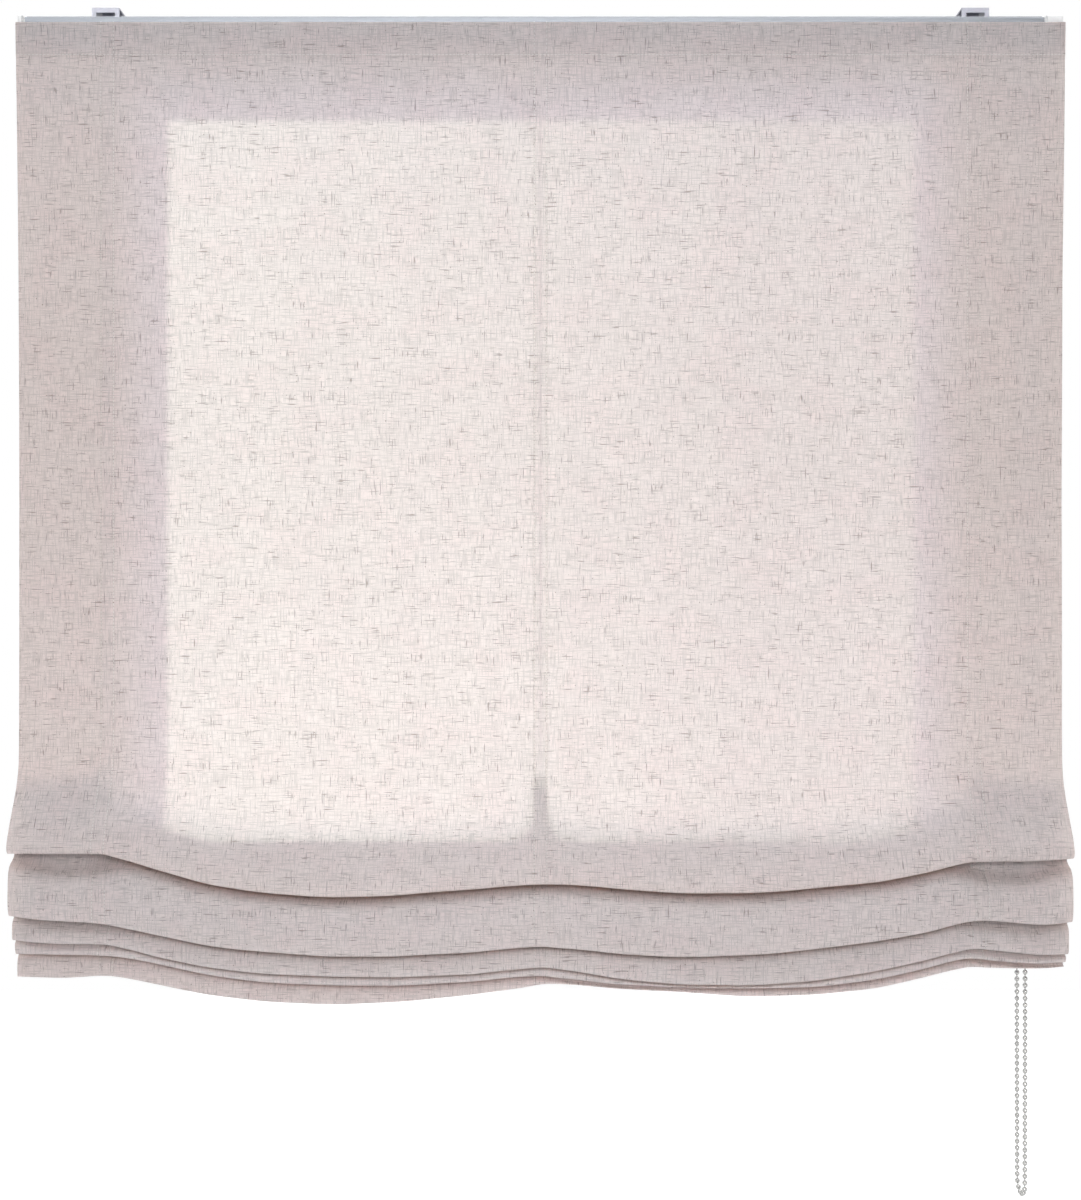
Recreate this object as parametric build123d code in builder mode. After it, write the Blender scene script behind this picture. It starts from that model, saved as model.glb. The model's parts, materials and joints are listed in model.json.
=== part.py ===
"""Rodless roman blind with a chain driven headrail, partly raised (build123d, millimetres).

Origin: on the ceiling, midway between the two bracket screws. +X right, +Y to the window, +Z up.
"""

import math
import os

from build123d import *

os.makedirs("parts", exist_ok=True)

# Shade
shade_width = 950.0
shade_top_z = -15.0
hem_seam_z = -46.5
cloth_thickness = 1.0
top_hem_thickness = 1.8
bottom_hem_thickness = 2.2
bottom_hem_height = 25.0
tape_offset = 392.0
tape_width = 12.5
tape_thickness = 0.4
seam_gap = 0.3  # between pieces of cloth that follow each other
sewing_gap = 0.03  # between the folded cloth and the tape sewn on it

# Rings, lift cords and their stops
ring_wire = 2.2
ring_mean_radius = 5.4
ring_gap = 0.3  # from the back of the tape
ring_pitch = 260.0
top_ring_z = -64.0
gathered_ring_z = -700.0  # highest ring of the pile on each cord
pile_pitch = 10.0
cord_diameter = 1.4
cord_lock_radius = 6.0
cord_lock_height = 14.0
cord_lock_clearance = 0.15

# Headrail
ceiling_gap = 9.0
rail_depth = 40.0
rail_height = 22.0
rail_wall = 1.4
rail_ledge_width = 2.0
rail_ledge_thickness = 1.2
rail_ledge_drop = 6.6  # below the channel's roof
slot_mouth = 18.0
slot_lip = 2.0
slot_space = 1.5
slot_wall = 1.2
end_setback = 1.0  # of the rail's ends inside the shade's edges
cap_plate = 3.6
cap_neck = 2.7
block_width = 14.5
block_neck = 2.6
cap_overhang = 0.5  # of the cap plates over the rail's front and back
cap_rise = 1.8  # of the cap plates over the rail's top
slide_fit = 0.2
strip_thickness = 1.2
strip_height = 14.0
strip_drop = 1.0  # below the shade's top edge

# Brackets
bracket_spacing = 790.0
bracket_width = 25.0
bracket_depth = 34.0
bracket_sheet = 1.4
screw_radius = 2.25
window_width = 17.0
window_height = 3.6
window_sill = 0.7
hook_width = 10.0
hook_reach = 1.4  # under the front lip
slot_clearance = 0.3  # of hooks and levers in the rail's slot
pivot_offset = 7.5
rivet_shoulder_radius = 3.0
rivet_radius = 1.5
rivet_head_radius = 2.0
lever_disc_radius = 4.0
lever_arm_width = 3.0
lever_arm_reach = 8.5
lever_knob_length = 3.0
lever_knob_height = 5.3
lever_finger_width = 2.6

# Drive
shaft_square = 6.0
shaft_fit = 0.1
running_clearance = 0.06
journal_radius = 5.0
drum_core_radius = 8.2
drum_flange_radius = 10.5
drum_flange = 1.5
drum_length = 46.0
drum_lead = 4.0  # of the drum past its tape, towards the drive
drum_journal = 4.0
winding_fit = 0.05
winding_length = 22.0
cradle_cheek = 3.0
cradle_floor = 1.5
cradle_clearance = 0.9  # under the drum's flanges
cord_eye_radius = 2.0
bush_flange_radius = 7.5
bush_length = 13.0
bush_flange = 2.0
cap_insert = 12.0

# Chain and its wheel
ball_diameter = 4.5
ball_pitch = 6.0
wheel_balls = 15
wheel_width = 8.0
wheel_from_rail_end = 15.9
wheel_side_gap = 0.6
wheel_rim_over_pitch = 1.0
ball_clearance = 0.6
guide_clearance = 0.5
pocket_clearance = 0.15
link_groove = 1.8
housing_wall = 1.3
cover_thickness = 4.0
hub_radius = 8.0
hub_length = 13.7
hub_gap = 0.3
sleeve_radius = 7.4
sleeve_bore = 6.6
spring_outer = 6.4
spring_turns = 4
spring_wire = 1.1
chain_start_drop = 12.5  # of the hanging chain's ends below the wheel's axis
chain_bottom_z = -1082.4
loop_corners = 6  # of the chain's round bottom
loop_depth = 16.0
connector_radius = 3.4
connector_length = 13.0
connector_z = -300.0

# Places worked out from the sizes above
tapes = {"left": -tape_offset, "centre": 0.0, "right": tape_offset}
rail_top_z = -ceiling_gap
channel_roof_z = rail_top_z - rail_wall
channel_half = rail_depth / 2 - rail_wall
plug_half = channel_half - slide_fit
plug_top_z = channel_roof_z - slide_fit
ledge_z = channel_roof_z - rail_ledge_drop
rail_left_x = -shade_width / 2 + end_setback + cap_plate + cap_neck
rail_right_x = shade_width / 2 - end_setback - block_width - block_neck
rail_length = rail_right_x - rail_left_x
rail_front_y = -rail_depth / 2
cloth_back_y = rail_front_y - 2 * strip_thickness
cloth_middle_y = cloth_back_y - cloth_thickness / 2
tape_back_y = cloth_back_y + tape_thickness
ring_y = tape_back_y + ring_gap + ring_mean_radius + ring_wire / 2
wheel_x = rail_right_x - wheel_from_rail_end
wheel_pitch_radius = ball_pitch / 2 / math.sin(math.pi / wheel_balls)
cavity_radius = wheel_pitch_radius + ball_diameter / 2 + ball_clearance
shaft_z = plug_top_z - housing_wall - cavity_radius
drive_plane = Plane(origin=(0, 0, shaft_z), x_dir=(0, 1, 0), z_dir=(1, 0, 0))
wound_radius = drum_core_radius + winding_fit + cord_diameter / 2
cradle_bottom_z = shaft_z - drum_flange_radius - cradle_clearance - cradle_floor
cap_bottom_z = shaft_z - bush_flange_radius
head_bottom_z = top_ring_z - 4.0
stack_top_z = -655.0
slot_lip_bottom_z = rail_top_z + slot_space
lever_top_z = slot_lip_bottom_z - slot_clearance
lever_bottom_z = rail_top_z + slot_clearance


def corner_radii(points, largest):
    """Radius of the arc at each corner: 0.45 of the shorter run over the tangent of half the turn."""
    radii = []
    for before, here, after in zip(points, points[1:], points[2:]):
        run_in, run_out = Vector(here) - Vector(before), Vector(after) - Vector(here)
        half_turn = math.radians(run_in.get_angle(run_out)) / 2
        shorter = min(run_in.length, run_out.length)
        radii.append(min(largest, 0.45 * shorter / math.tan(half_turn)))
    return radii


def strip_beside(route, radii, near, far):
    """Closed outline of a strip that follows a route, from `near` to `far` mm on its left."""
    points = [Vector(*point) for point in route]
    runs = [(after - before).normalized() for before, after in zip(points, points[1:])]
    sides = []
    for distance in (near, far):
        moved = []
        for index, point in enumerate(points):
            run_in, run_out = runs[max(index - 1, 0)], runs[min(index, len(runs) - 1)]
            across = Vector(-run_in.Y - run_out.Y, run_in.X + run_out.X)
            moved.append(point + across * (distance / (1 + run_in.dot(run_out))))
        bends = []
        for run_in, run_out, radius in zip(runs, runs[1:], radii):
            turns_left = run_in.X * run_out.Y > run_in.Y * run_out.X
            bends.append(radius - distance if turns_left else radius + distance)
        sides.append(FilletPolyline(moved, radius=bends))
    Line(sides[0] @ 0, sides[1] @ 0)
    Line(sides[0] @ 1, sides[1] @ 1)


def channel_plug(bottom_z):
    """Section of a piece that slides in the rail's channel, grooved for the rail's ledges."""
    with Locations((0, plug_top_z)):
        Rectangle(2 * plug_half, plug_top_z - bottom_z, align=(Align.CENTER, Align.MAX))
    groove_depth = rail_ledge_width + 2 * slide_fit
    for side in (-1, 1):
        with Locations((side * (channel_half - groove_depth / 2), ledge_z)):
            Rectangle(groove_depth, rail_ledge_thickness + 2 * slide_fit, mode=Mode.SUBTRACT)


# ------------------------------------------------------------------ headrail
with BuildPart() as headrail:
    with BuildSketch(Plane.YZ.offset(rail_left_x)) as rail_section:
        with Locations((0, rail_top_z)):
            Rectangle(rail_depth, rail_height, align=(Align.CENTER, Align.MAX))
        fillet(rail_section.vertices().group_by(Axis.Y)[-1], radius=rail_wall)
        with Locations((0, channel_roof_z)):
            Rectangle(
                2 * channel_half, rail_height, align=(Align.CENTER, Align.MAX), mode=Mode.SUBTRACT
            )
        for side in (-1, 1):
            with Locations((side * (channel_half - rail_ledge_width / 2), ledge_z)):
                Rectangle(rail_ledge_width, rail_ledge_thickness)
            with Locations((side * (slot_mouth / 2 + slot_lip + slot_wall / 2), rail_top_z)):
                Rectangle(slot_wall, slot_space + slot_wall, align=(Align.CENTER, Align.MIN))
            with Locations((side * (slot_mouth / 2 + slot_lip / 2), slot_lip_bottom_z)):
                Rectangle(slot_lip, slot_wall, align=(Align.CENTER, Align.MIN))
    extrude(amount=rail_length)
headrail.part.label = "headrail"
export_step(headrail.part, "parts/headrail.step")

with BuildPart() as hook_strip:
    with BuildSketch(Plane.XZ.offset(-rail_front_y)):
        with Locations(((rail_left_x + rail_right_x) / 2, shade_top_z - strip_drop)):
            Rectangle(rail_length, strip_height, align=(Align.CENTER, Align.MAX))
    extrude(amount=strip_thickness)
hook_strip.part.label = "hook_strip"
export_step(hook_strip.part, "parts/hook_strip.step")

with BuildPart() as loop_strip:
    with BuildSketch(Plane.XZ.offset(strip_thickness - rail_front_y)):
        with Locations((0, shade_top_z - strip_drop)):
            Rectangle(shade_width - 2 * tape_width, strip_height, align=(Align.CENTER, Align.MAX))
    extrude(amount=strip_thickness)
loop_strip.part.label = "loop_strip"
export_step(loop_strip.part, "parts/loop_strip.step")

# -------------------------------------------------------- left cap and its bush
cap_outline_height = rail_top_z + cap_rise - cap_bottom_z
cap_outline_depth = rail_depth + 2 * cap_overhang

with BuildPart() as end_cap_left:
    with BuildSketch(Plane.YZ.offset(rail_left_x - cap_neck - cap_plate)):
        with Locations((0, cap_bottom_z + cap_outline_height / 2)):
            RectangleRounded(cap_outline_depth, cap_outline_height, 2.0)
    extrude(amount=cap_plate)
    with BuildSketch(Plane.YZ.offset(rail_left_x - cap_neck)):
        channel_plug(cap_bottom_z + slide_fit)
    extrude(amount=cap_neck + cap_insert)
    fillet(end_cap_left.faces().sort_by(Axis.X)[0].edges(), radius=1.0)
    with BuildSketch(drive_plane.offset(rail_left_x + cap_insert - bush_length)):
        Circle(journal_radius + running_clearance)
    extrude(amount=bush_length, mode=Mode.SUBTRACT)
end_cap_left.part.label = "end_cap_left"
export_step(end_cap_left.part, "parts/end_cap_left.step")

bush_left_x = rail_left_x + cap_insert + hub_gap - bush_length + bush_flange
with BuildPart() as shaft_end_bush:
    with BuildSketch(drive_plane.offset(bush_left_x)):
        Circle(journal_radius)
    extrude(amount=bush_length)
    with BuildSketch(drive_plane.offset(rail_left_x + cap_insert + hub_gap)):
        Circle(bush_flange_radius)
    extrude(amount=bush_flange)
    with BuildSketch(drive_plane.offset(bush_left_x)):
        Rectangle(shaft_square + 2 * shaft_fit, shaft_square + 2 * shaft_fit)
    extrude(amount=bush_length, mode=Mode.SUBTRACT)
shaft_end_bush.part.label = "shaft_end_bush"
export_step(shaft_end_bush.part, "parts/shaft_end_bush.step")

# --------------------------------------------- drive housing, cover and wheel
cavity_left_x = wheel_x - wheel_width / 2 - wheel_side_gap
cavity_right_x = wheel_x + wheel_width / 2 + wheel_side_gap
housing_bottom_z = shaft_z - cavity_radius - housing_wall
stub_left_x = wheel_x - wheel_width / 2 + 0.1

with BuildPart() as drive_housing:
    with BuildSketch(Plane.YZ.offset(rail_right_x + block_neck)):
        with Locations((0, cap_bottom_z + cap_outline_height / 2)):
            RectangleRounded(cap_outline_depth, cap_outline_height, 2.0)
    extrude(amount=block_width)
    fillet(drive_housing.faces().sort_by(Axis.X)[-1].edges(), radius=1.5)
    with BuildSketch(Plane.YZ.offset(cavity_left_x)):
        channel_plug(housing_bottom_z)
    extrude(amount=rail_right_x + block_neck - cavity_left_x)
    with BuildSketch(drive_plane.offset(cavity_left_x)):
        Circle(cavity_radius)
    extrude(amount=cavity_right_x - cavity_left_x, mode=Mode.SUBTRACT)
    with BuildSketch(Plane.XY.offset(housing_bottom_z)):
        with Locations((wheel_x, wheel_pitch_radius), (wheel_x, -wheel_pitch_radius)):
            Circle(ball_diameter / 2 + guide_clearance)
    extrude(amount=shaft_z - housing_bottom_z, mode=Mode.SUBTRACT)
    with BuildSketch(drive_plane.offset(stub_left_x)):
        Circle(journal_radius)
    extrude(amount=cavity_right_x - stub_left_x)
drive_housing.part.label = "drive_housing"
export_step(drive_housing.part, "parts/drive_housing.step")

with BuildPart() as drive_cover:
    with BuildSketch(Plane.YZ.offset(cavity_left_x - cover_thickness)):
        channel_plug(housing_bottom_z)
    extrude(amount=cover_thickness)
    with BuildSketch(drive_plane.offset(cavity_left_x - cover_thickness)):
        Circle(hub_radius + running_clearance)
    extrude(amount=cover_thickness, mode=Mode.SUBTRACT)
drive_cover.part.label = "drive_cover"
export_step(drive_cover.part, "parts/drive_cover.step")

wheel_left_x = wheel_x - wheel_width / 2
hollow_depth = spring_turns * spring_wire + 2.2
rim_radius = wheel_pitch_radius + wheel_rim_over_pitch
with BuildPart() as chain_wheel:
    with BuildSketch(drive_plane.offset(wheel_left_x)):
        Circle(rim_radius)
    extrude(amount=wheel_width)
    pocket_width = ball_diameter + 2 * pocket_clearance
    with BuildSketch(drive_plane.offset(wheel_x - pocket_width / 2)):
        with PolarLocations(wheel_pitch_radius, wheel_balls):
            Circle(pocket_width / 2)
    extrude(amount=pocket_width, mode=Mode.SUBTRACT)
    with BuildSketch(drive_plane.offset(wheel_x - link_groove / 2)):
        Circle(rim_radius + 1)
        Circle(wheel_pitch_radius - link_groove / 2, mode=Mode.SUBTRACT)
    extrude(amount=link_groove, mode=Mode.SUBTRACT)
    with BuildSketch(drive_plane.offset(wheel_left_x)):
        Circle(sleeve_radius + slide_fit)
    extrude(amount=hollow_depth, mode=Mode.SUBTRACT)
    with BuildSketch(drive_plane.offset(wheel_left_x)):
        Circle(journal_radius + running_clearance)
    extrude(amount=wheel_width, mode=Mode.SUBTRACT)
chain_wheel.part.label = "chain_wheel"
export_step(chain_wheel.part, "parts/chain_wheel.step")

with BuildPart() as wrap_spring:
    with BuildSketch(drive_plane.offset(wheel_left_x + 1.0)):
        Circle(spring_outer - spring_wire / 2)
        Circle(journal_radius + running_clearance, mode=Mode.SUBTRACT)
    extrude(amount=spring_turns * spring_wire)
    for turn in range(spring_turns):
        with BuildSketch(drive_plane.offset(wheel_left_x + 1.1 + turn * spring_wire)):
            Circle(spring_outer)
            Circle(journal_radius + running_clearance, mode=Mode.SUBTRACT)
        extrude(amount=spring_wire - 0.2)
wrap_spring.part.label = "wrap_spring"
export_step(wrap_spring.part, "parts/wrap_spring.step")

hub_right_x = wheel_left_x - hub_gap
hub_left_x = hub_right_x - hub_length
hub_socket = hub_length - 2.0
with BuildPart() as drive_hub:
    with BuildSketch(drive_plane.offset(hub_left_x)):
        Circle(hub_radius)
    extrude(amount=hub_length)
    with BuildSketch(drive_plane.offset(hub_right_x)):
        Circle(sleeve_radius)
        Circle(sleeve_bore, mode=Mode.SUBTRACT)
    extrude(amount=hollow_depth - 1.0)
    with BuildSketch(drive_plane.offset(hub_left_x)):
        Rectangle(shaft_square + 2 * shaft_fit, shaft_square + 2 * shaft_fit)
    extrude(amount=hub_socket, mode=Mode.SUBTRACT)
drive_hub.part.label = "drive_hub"
export_step(drive_hub.part, "parts/drive_hub.step")

shaft_left_x = bush_left_x + 1.0
shaft_right_x = hub_left_x + hub_socket - 0.5
with BuildPart() as drive_shaft:
    with BuildSketch(drive_plane.offset(shaft_left_x)):
        Rectangle(shaft_square, shaft_square)
    extrude(amount=shaft_right_x - shaft_left_x)
    chamfer(drive_shaft.edges().filter_by(Axis.X), length=0.4)
drive_shaft.part.label = "drive_shaft"
export_step(drive_shaft.part, "parts/drive_shaft.step")

# ------------------------------------- cord drums, cradles, windings and cords
to_top_ring = Vector(ring_y, top_ring_z - shaft_z)
tangent_angle = math.atan2(to_top_ring.Y, to_top_ring.X) - math.acos(
    wound_radius / to_top_ring.length
)
leave_y = wound_radius * math.cos(tangent_angle)
leave_z = shaft_z + wound_radius * math.sin(tangent_angle)
floor_share = (leave_z - cradle_bottom_z) / (leave_z - top_ring_z)
cord_eye_y = leave_y + (ring_y - leave_y) * floor_share
lowest_ring_z = gathered_ring_z - 3 * pile_pitch
cord_lock_top_z = lowest_ring_z - ring_wire / 2 - ring_gap
cord_end_z = cord_lock_top_z - cord_lock_height * 0.6

for tape, tape_x in tapes.items():
    drum_right_x = tape_x + drum_lead
    drum_left_x = drum_right_x - drum_length

    with BuildPart() as cord_drum:
        with BuildSketch(drive_plane.offset(drum_left_x - drum_journal)):
            Circle(journal_radius)
        extrude(amount=drum_length + 2 * drum_journal)
        with BuildSketch(drive_plane.offset(drum_left_x)):
            Circle(drum_core_radius)
        extrude(amount=drum_length)
        for flange_x in (drum_left_x, drum_right_x - drum_flange):
            with BuildSketch(drive_plane.offset(flange_x)):
                Circle(drum_flange_radius)
            extrude(amount=drum_flange)
        with BuildSketch(drive_plane.offset(drum_left_x - drum_journal)):
            Rectangle(shaft_square + 2 * shaft_fit, shaft_square + 2 * shaft_fit)
        extrude(amount=drum_length + 2 * drum_journal, mode=Mode.SUBTRACT)
    cord_drum.part.label = f"cord_drum_{tape}"
    export_step(cord_drum.part, f"parts/cord_drum_{tape}.step")

    with BuildPart() as cord_winding:
        with BuildSketch(drive_plane.offset(tape_x - cord_diameter / 2 - 0.1 - winding_length)):
            Circle(wound_radius + cord_diameter / 2)
            Circle(drum_core_radius + winding_fit, mode=Mode.SUBTRACT)
        extrude(amount=winding_length)
    cord_winding.part.label = f"cord_winding_{tape}"
    export_step(cord_winding.part, f"parts/cord_winding_{tape}.step")

    cheek_gap = 1.0
    left_cheek_x = drum_left_x - cheek_gap - cradle_cheek
    right_cheek_x = drum_right_x + cheek_gap
    with BuildPart() as drum_cradle:
        for cheek_x in (left_cheek_x, right_cheek_x):
            with BuildSketch(Plane.YZ.offset(cheek_x)):
                channel_plug(cradle_bottom_z)
            extrude(amount=cradle_cheek)
        with BuildSketch(Plane.XY.offset(cradle_bottom_z)):
            with Locations(((left_cheek_x + right_cheek_x + cradle_cheek) / 2, 0)):
                Rectangle(right_cheek_x + cradle_cheek - left_cheek_x, 2 * plug_half)
            with Locations((tape_x, cord_eye_y)):
                Circle(cord_eye_radius, mode=Mode.SUBTRACT)
        extrude(amount=cradle_floor)
        with BuildSketch(drive_plane.offset(left_cheek_x)):
            Circle(journal_radius + running_clearance)
        extrude(amount=right_cheek_x + cradle_cheek - left_cheek_x, mode=Mode.SUBTRACT)
    drum_cradle.part.label = f"drum_cradle_{tape}"
    export_step(drum_cradle.part, f"parts/drum_cradle_{tape}.step")

    cord_route = [
        (tape_x, leave_y, leave_z),
        (tape_x, ring_y, top_ring_z),
        (tape_x, ring_y, cord_end_z),
    ]
    with BuildPart() as lift_cord:
        with BuildLine():
            cord_line = FilletPolyline(cord_route, radius=corner_radii(cord_route, math.inf))
        with BuildSketch(Plane(origin=cord_line @ 0, z_dir=cord_line % 0)):
            Circle(cord_diameter / 2)
        sweep()
    lift_cord.part.label = f"lift_cord_{tape}"
    export_step(lift_cord.part, f"parts/lift_cord_{tape}.step")

    with BuildPart() as cord_lock:
        with BuildSketch(Plane.XZ.offset(-ring_y)):
            with BuildLine():
                lock_side = Polyline(
                    (tape_x, cord_lock_top_z),
                    (tape_x + cord_lock_radius, cord_lock_top_z),
                    (tape_x + cord_lock_radius, cord_lock_top_z - cord_lock_height * 0.3),
                    (tape_x + cord_lock_radius * 0.6, cord_lock_top_z - cord_lock_height),
                    (tape_x, cord_lock_top_z - cord_lock_height),
                    close=True,
                )
            make_face()
        revolve(axis=Axis((tape_x, ring_y, 0), (0, 0, 1)))
        with BuildSketch(Plane.XY.offset(cord_lock_top_z)):
            with Locations((tape_x, ring_y)):
                Circle(cord_diameter / 2 + cord_lock_clearance)
        extrude(amount=-cord_lock_height * 0.7, mode=Mode.SUBTRACT)
    cord_lock.part.label = f"cord_lock_{tape}"
    export_step(cord_lock.part, f"parts/cord_lock_{tape}.step")

# ----------------------------------------------------------------- ring rows
lowest_flat_ring = 4
row_z = {6: top_ring_z, 5: top_ring_z - ring_pitch, 4: top_ring_z - 2 * ring_pitch}
for row in range(lowest_flat_ring):
    row_z[row] = gathered_ring_z - (lowest_flat_ring - 1 - row) * pile_pitch
for row, z in row_z.items():
    with BuildPart() as ring_row:
        with Locations(*[(tape_x, ring_y, z) for tape_x in tapes.values()]):
            Torus(ring_mean_radius, ring_wire / 2)
    ring_row.part.label = f"ring_row_{row}"
    export_step(ring_row.part, f"parts/ring_row_{row}.step")

# ------------------------------------------------------------- flat upper cloth
with BuildPart() as shade_head:
    with BuildSketch(Plane.XZ.offset(-cloth_back_y)):
        with Locations((0, shade_top_z)):
            Rectangle(shade_width, shade_top_z - head_bottom_z, align=(Align.CENTER, Align.MAX))
    extrude(amount=cloth_thickness)
    with BuildSketch(Plane.XZ.offset(-cloth_back_y)):
        with Locations((0, shade_top_z)):
            Rectangle(shade_width, shade_top_z - hem_seam_z, align=(Align.CENTER, Align.MAX))
    extrude(amount=top_hem_thickness)
shade_head.part.label = "shade_head"
export_step(shade_head.part, "parts/shade_head.step")

drop_top_z = head_bottom_z - seam_gap
drop_bottom_z = stack_top_z + seam_gap
with BuildPart() as shade_drop:
    with BuildSketch(Plane.XZ.offset(-cloth_back_y)):
        with Locations((0, drop_top_z)):
            Rectangle(shade_width, drop_top_z - drop_bottom_z, align=(Align.CENTER, Align.MAX))
    extrude(amount=cloth_thickness)
shade_drop.part.label = "shade_drop"
export_step(shade_drop.part, "parts/shade_drop.step")

tape_stretches = {"head": (hem_seam_z, head_bottom_z), "drop": (drop_top_z, drop_bottom_z)}
for tape, tape_x in tapes.items():
    for stretch, (upper_z, lower_z) in tape_stretches.items():
        with BuildPart() as ring_tape:
            with BuildSketch(Plane.XZ.offset(-tape_back_y)):
                with Locations((tape_x, upper_z)):
                    Rectangle(tape_width, upper_z - lower_z, align=(Align.CENTER, Align.MAX))
            extrude(amount=tape_thickness)
        ring_tape.part.label = f"ring_tape_{stretch}_{tape}"
        export_step(ring_tape.part, f"parts/ring_tape_{stretch}_{tape}.step")

# ------------------------------------------------- folded lower cloth and tapes
# Each loop hangs from one ring of the pile to the next. Points are (forward, z) on the cloth's
# middle, down the front, round the bottom from its front to its back, and up behind.
fold_gap = 2.6  # between the layers of cloth at the rings
fold_rise = 1.6  # of each fold's ridge over its ring
fold_leg = 2.6  # straight down behind the ridge, where the ring is sewn
fold_z = [gathered_ring_z + fold_rise - row * pile_pitch for row in range(4)]
fan_z = fold_z[-1]
loops = (
    {
        "front": [(0, stack_top_z - 12), (25, -716), (38.5, -757)],
        "bottom": (38.5, 24.5, -783),
        "back": [],
    },
    {
        "front": [(19.5, -788), (34.5, -826)],
        "bottom": (35.0, 23.0, -842),
        "back": [(16.0, -790)],
    },
    {
        "front": [(12.8, -790), (21.0, -848)],
        "bottom": (21.5, 12.5, -865),
        "back": [(9.8, -790)],
    },
    {
        "front": [(7.0, -800), (9.4, -860), (12.6, -868)],
        "bottom": (13.4, 7.0, -875),
        "back": [(4.2, -800)],
    },
)
hem_points = [(1.2, -800), (0.5, -890)]

route = [(0, stack_top_z)]
for index, loop in enumerate(loops):
    route += loop["front"]
    bottom_front, bottom_back, bottom_z = loop["bottom"]
    route += [(bottom_front, bottom_z), (bottom_back, bottom_z)]
    route += loop["back"]
    if index < 3:
        route.append(((7 - 2 * index) * fold_gap, fan_z))
    route += [(fold_gap, fold_z[index]), (0, fold_z[index])]
    if index < 3:
        route += [(0, fold_z[index] - fold_leg), (2 * fold_gap, fold_z[index] - pile_pitch)]
    if index < 2:
        route.append(((6 - 2 * index) * fold_gap, fan_z))
route += hem_points
fold_route = [(cloth_middle_y - forward, z) for forward, z in route]
fold_radii = corner_radii(fold_route, 60.0)
half_cloth = cloth_thickness / 2
hem_y, hem_bottom_z = fold_route[-1]

with BuildPart() as shade_stack:
    with BuildSketch(Plane.YZ.offset(-shade_width / 2)):
        with BuildLine():
            strip_beside(fold_route, fold_radii, -half_cloth, half_cloth)
        make_face()
        with Locations((hem_y, hem_bottom_z)):
            Rectangle(bottom_hem_thickness, bottom_hem_height, align=(Align.CENTER, Align.MIN))
    extrude(amount=shade_width)
shade_stack.part.label = "shade_stack"
export_step(shade_stack.part, "parts/shade_stack.step")

tape_route = fold_route[:-1] + [(hem_y, hem_bottom_z + bottom_hem_height + seam_gap)]
for tape, tape_x in tapes.items():
    with BuildPart() as stack_tape:
        with BuildSketch(Plane.YZ.offset(tape_x - tape_width / 2)):
            with BuildLine():
                strip_beside(
                    tape_route,
                    fold_radii,
                    half_cloth + sewing_gap,
                    half_cloth + sewing_gap + tape_thickness,
                )
            make_face()
        extrude(amount=tape_width)
    stack_tape.part.label = f"ring_tape_stack_{tape}"
    export_step(stack_tape.part, f"parts/ring_tape_stack_{tape}.step")

# ----------------------------------------------------------- ball chain loop
chain_top_z = shaft_z - chain_start_drop
loop_step = math.pi / loop_corners
chain_route = [(wheel_x, -wheel_pitch_radius, chain_top_z)]
for corner in range(loop_corners):
    angle = (corner + 0.5) * loop_step
    across = math.cos(angle) / math.cos(loop_step / 2)
    down = math.sin(angle) / math.cos(loop_step / 2)
    chain_route.append(
        (wheel_x, -wheel_pitch_radius * across, chain_bottom_z + loop_depth * (1 - down))
    )
chain_route.append((wheel_x, wheel_pitch_radius, chain_top_z))
chain_radii = corner_radii(chain_route, math.inf)
print("chain arc radii", [round(radius, 1) for radius in chain_radii])
with BuildPart() as ball_chain:
    with BuildLine():
        chain_line = FilletPolyline(chain_route, radius=chain_radii)
    with BuildSketch(Plane(origin=chain_line @ 0, z_dir=chain_line % 0)):
        Circle(ball_diameter / 2)
    sweep()
chain_volume = math.pi * (ball_diameter / 2) ** 2 * chain_line.length
print("chain length", round(chain_line.length, 1))
print("chain volume over section times length", round(ball_chain.part.volume / chain_volume, 5))
ball_chain.part.label = "ball_chain"
export_step(ball_chain.part, "parts/ball_chain.step")

with BuildPart() as chain_connector:
    with BuildSketch(Plane.XY.offset(connector_z)):
        with Locations((wheel_x, wheel_pitch_radius)):
            Circle(connector_radius)
            Circle(ball_diameter / 2 + running_clearance, mode=Mode.SUBTRACT)
    extrude(amount=connector_length)
chain_connector.part.label = "chain_connector"
export_step(chain_connector.part, "parts/chain_connector.step")

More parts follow.
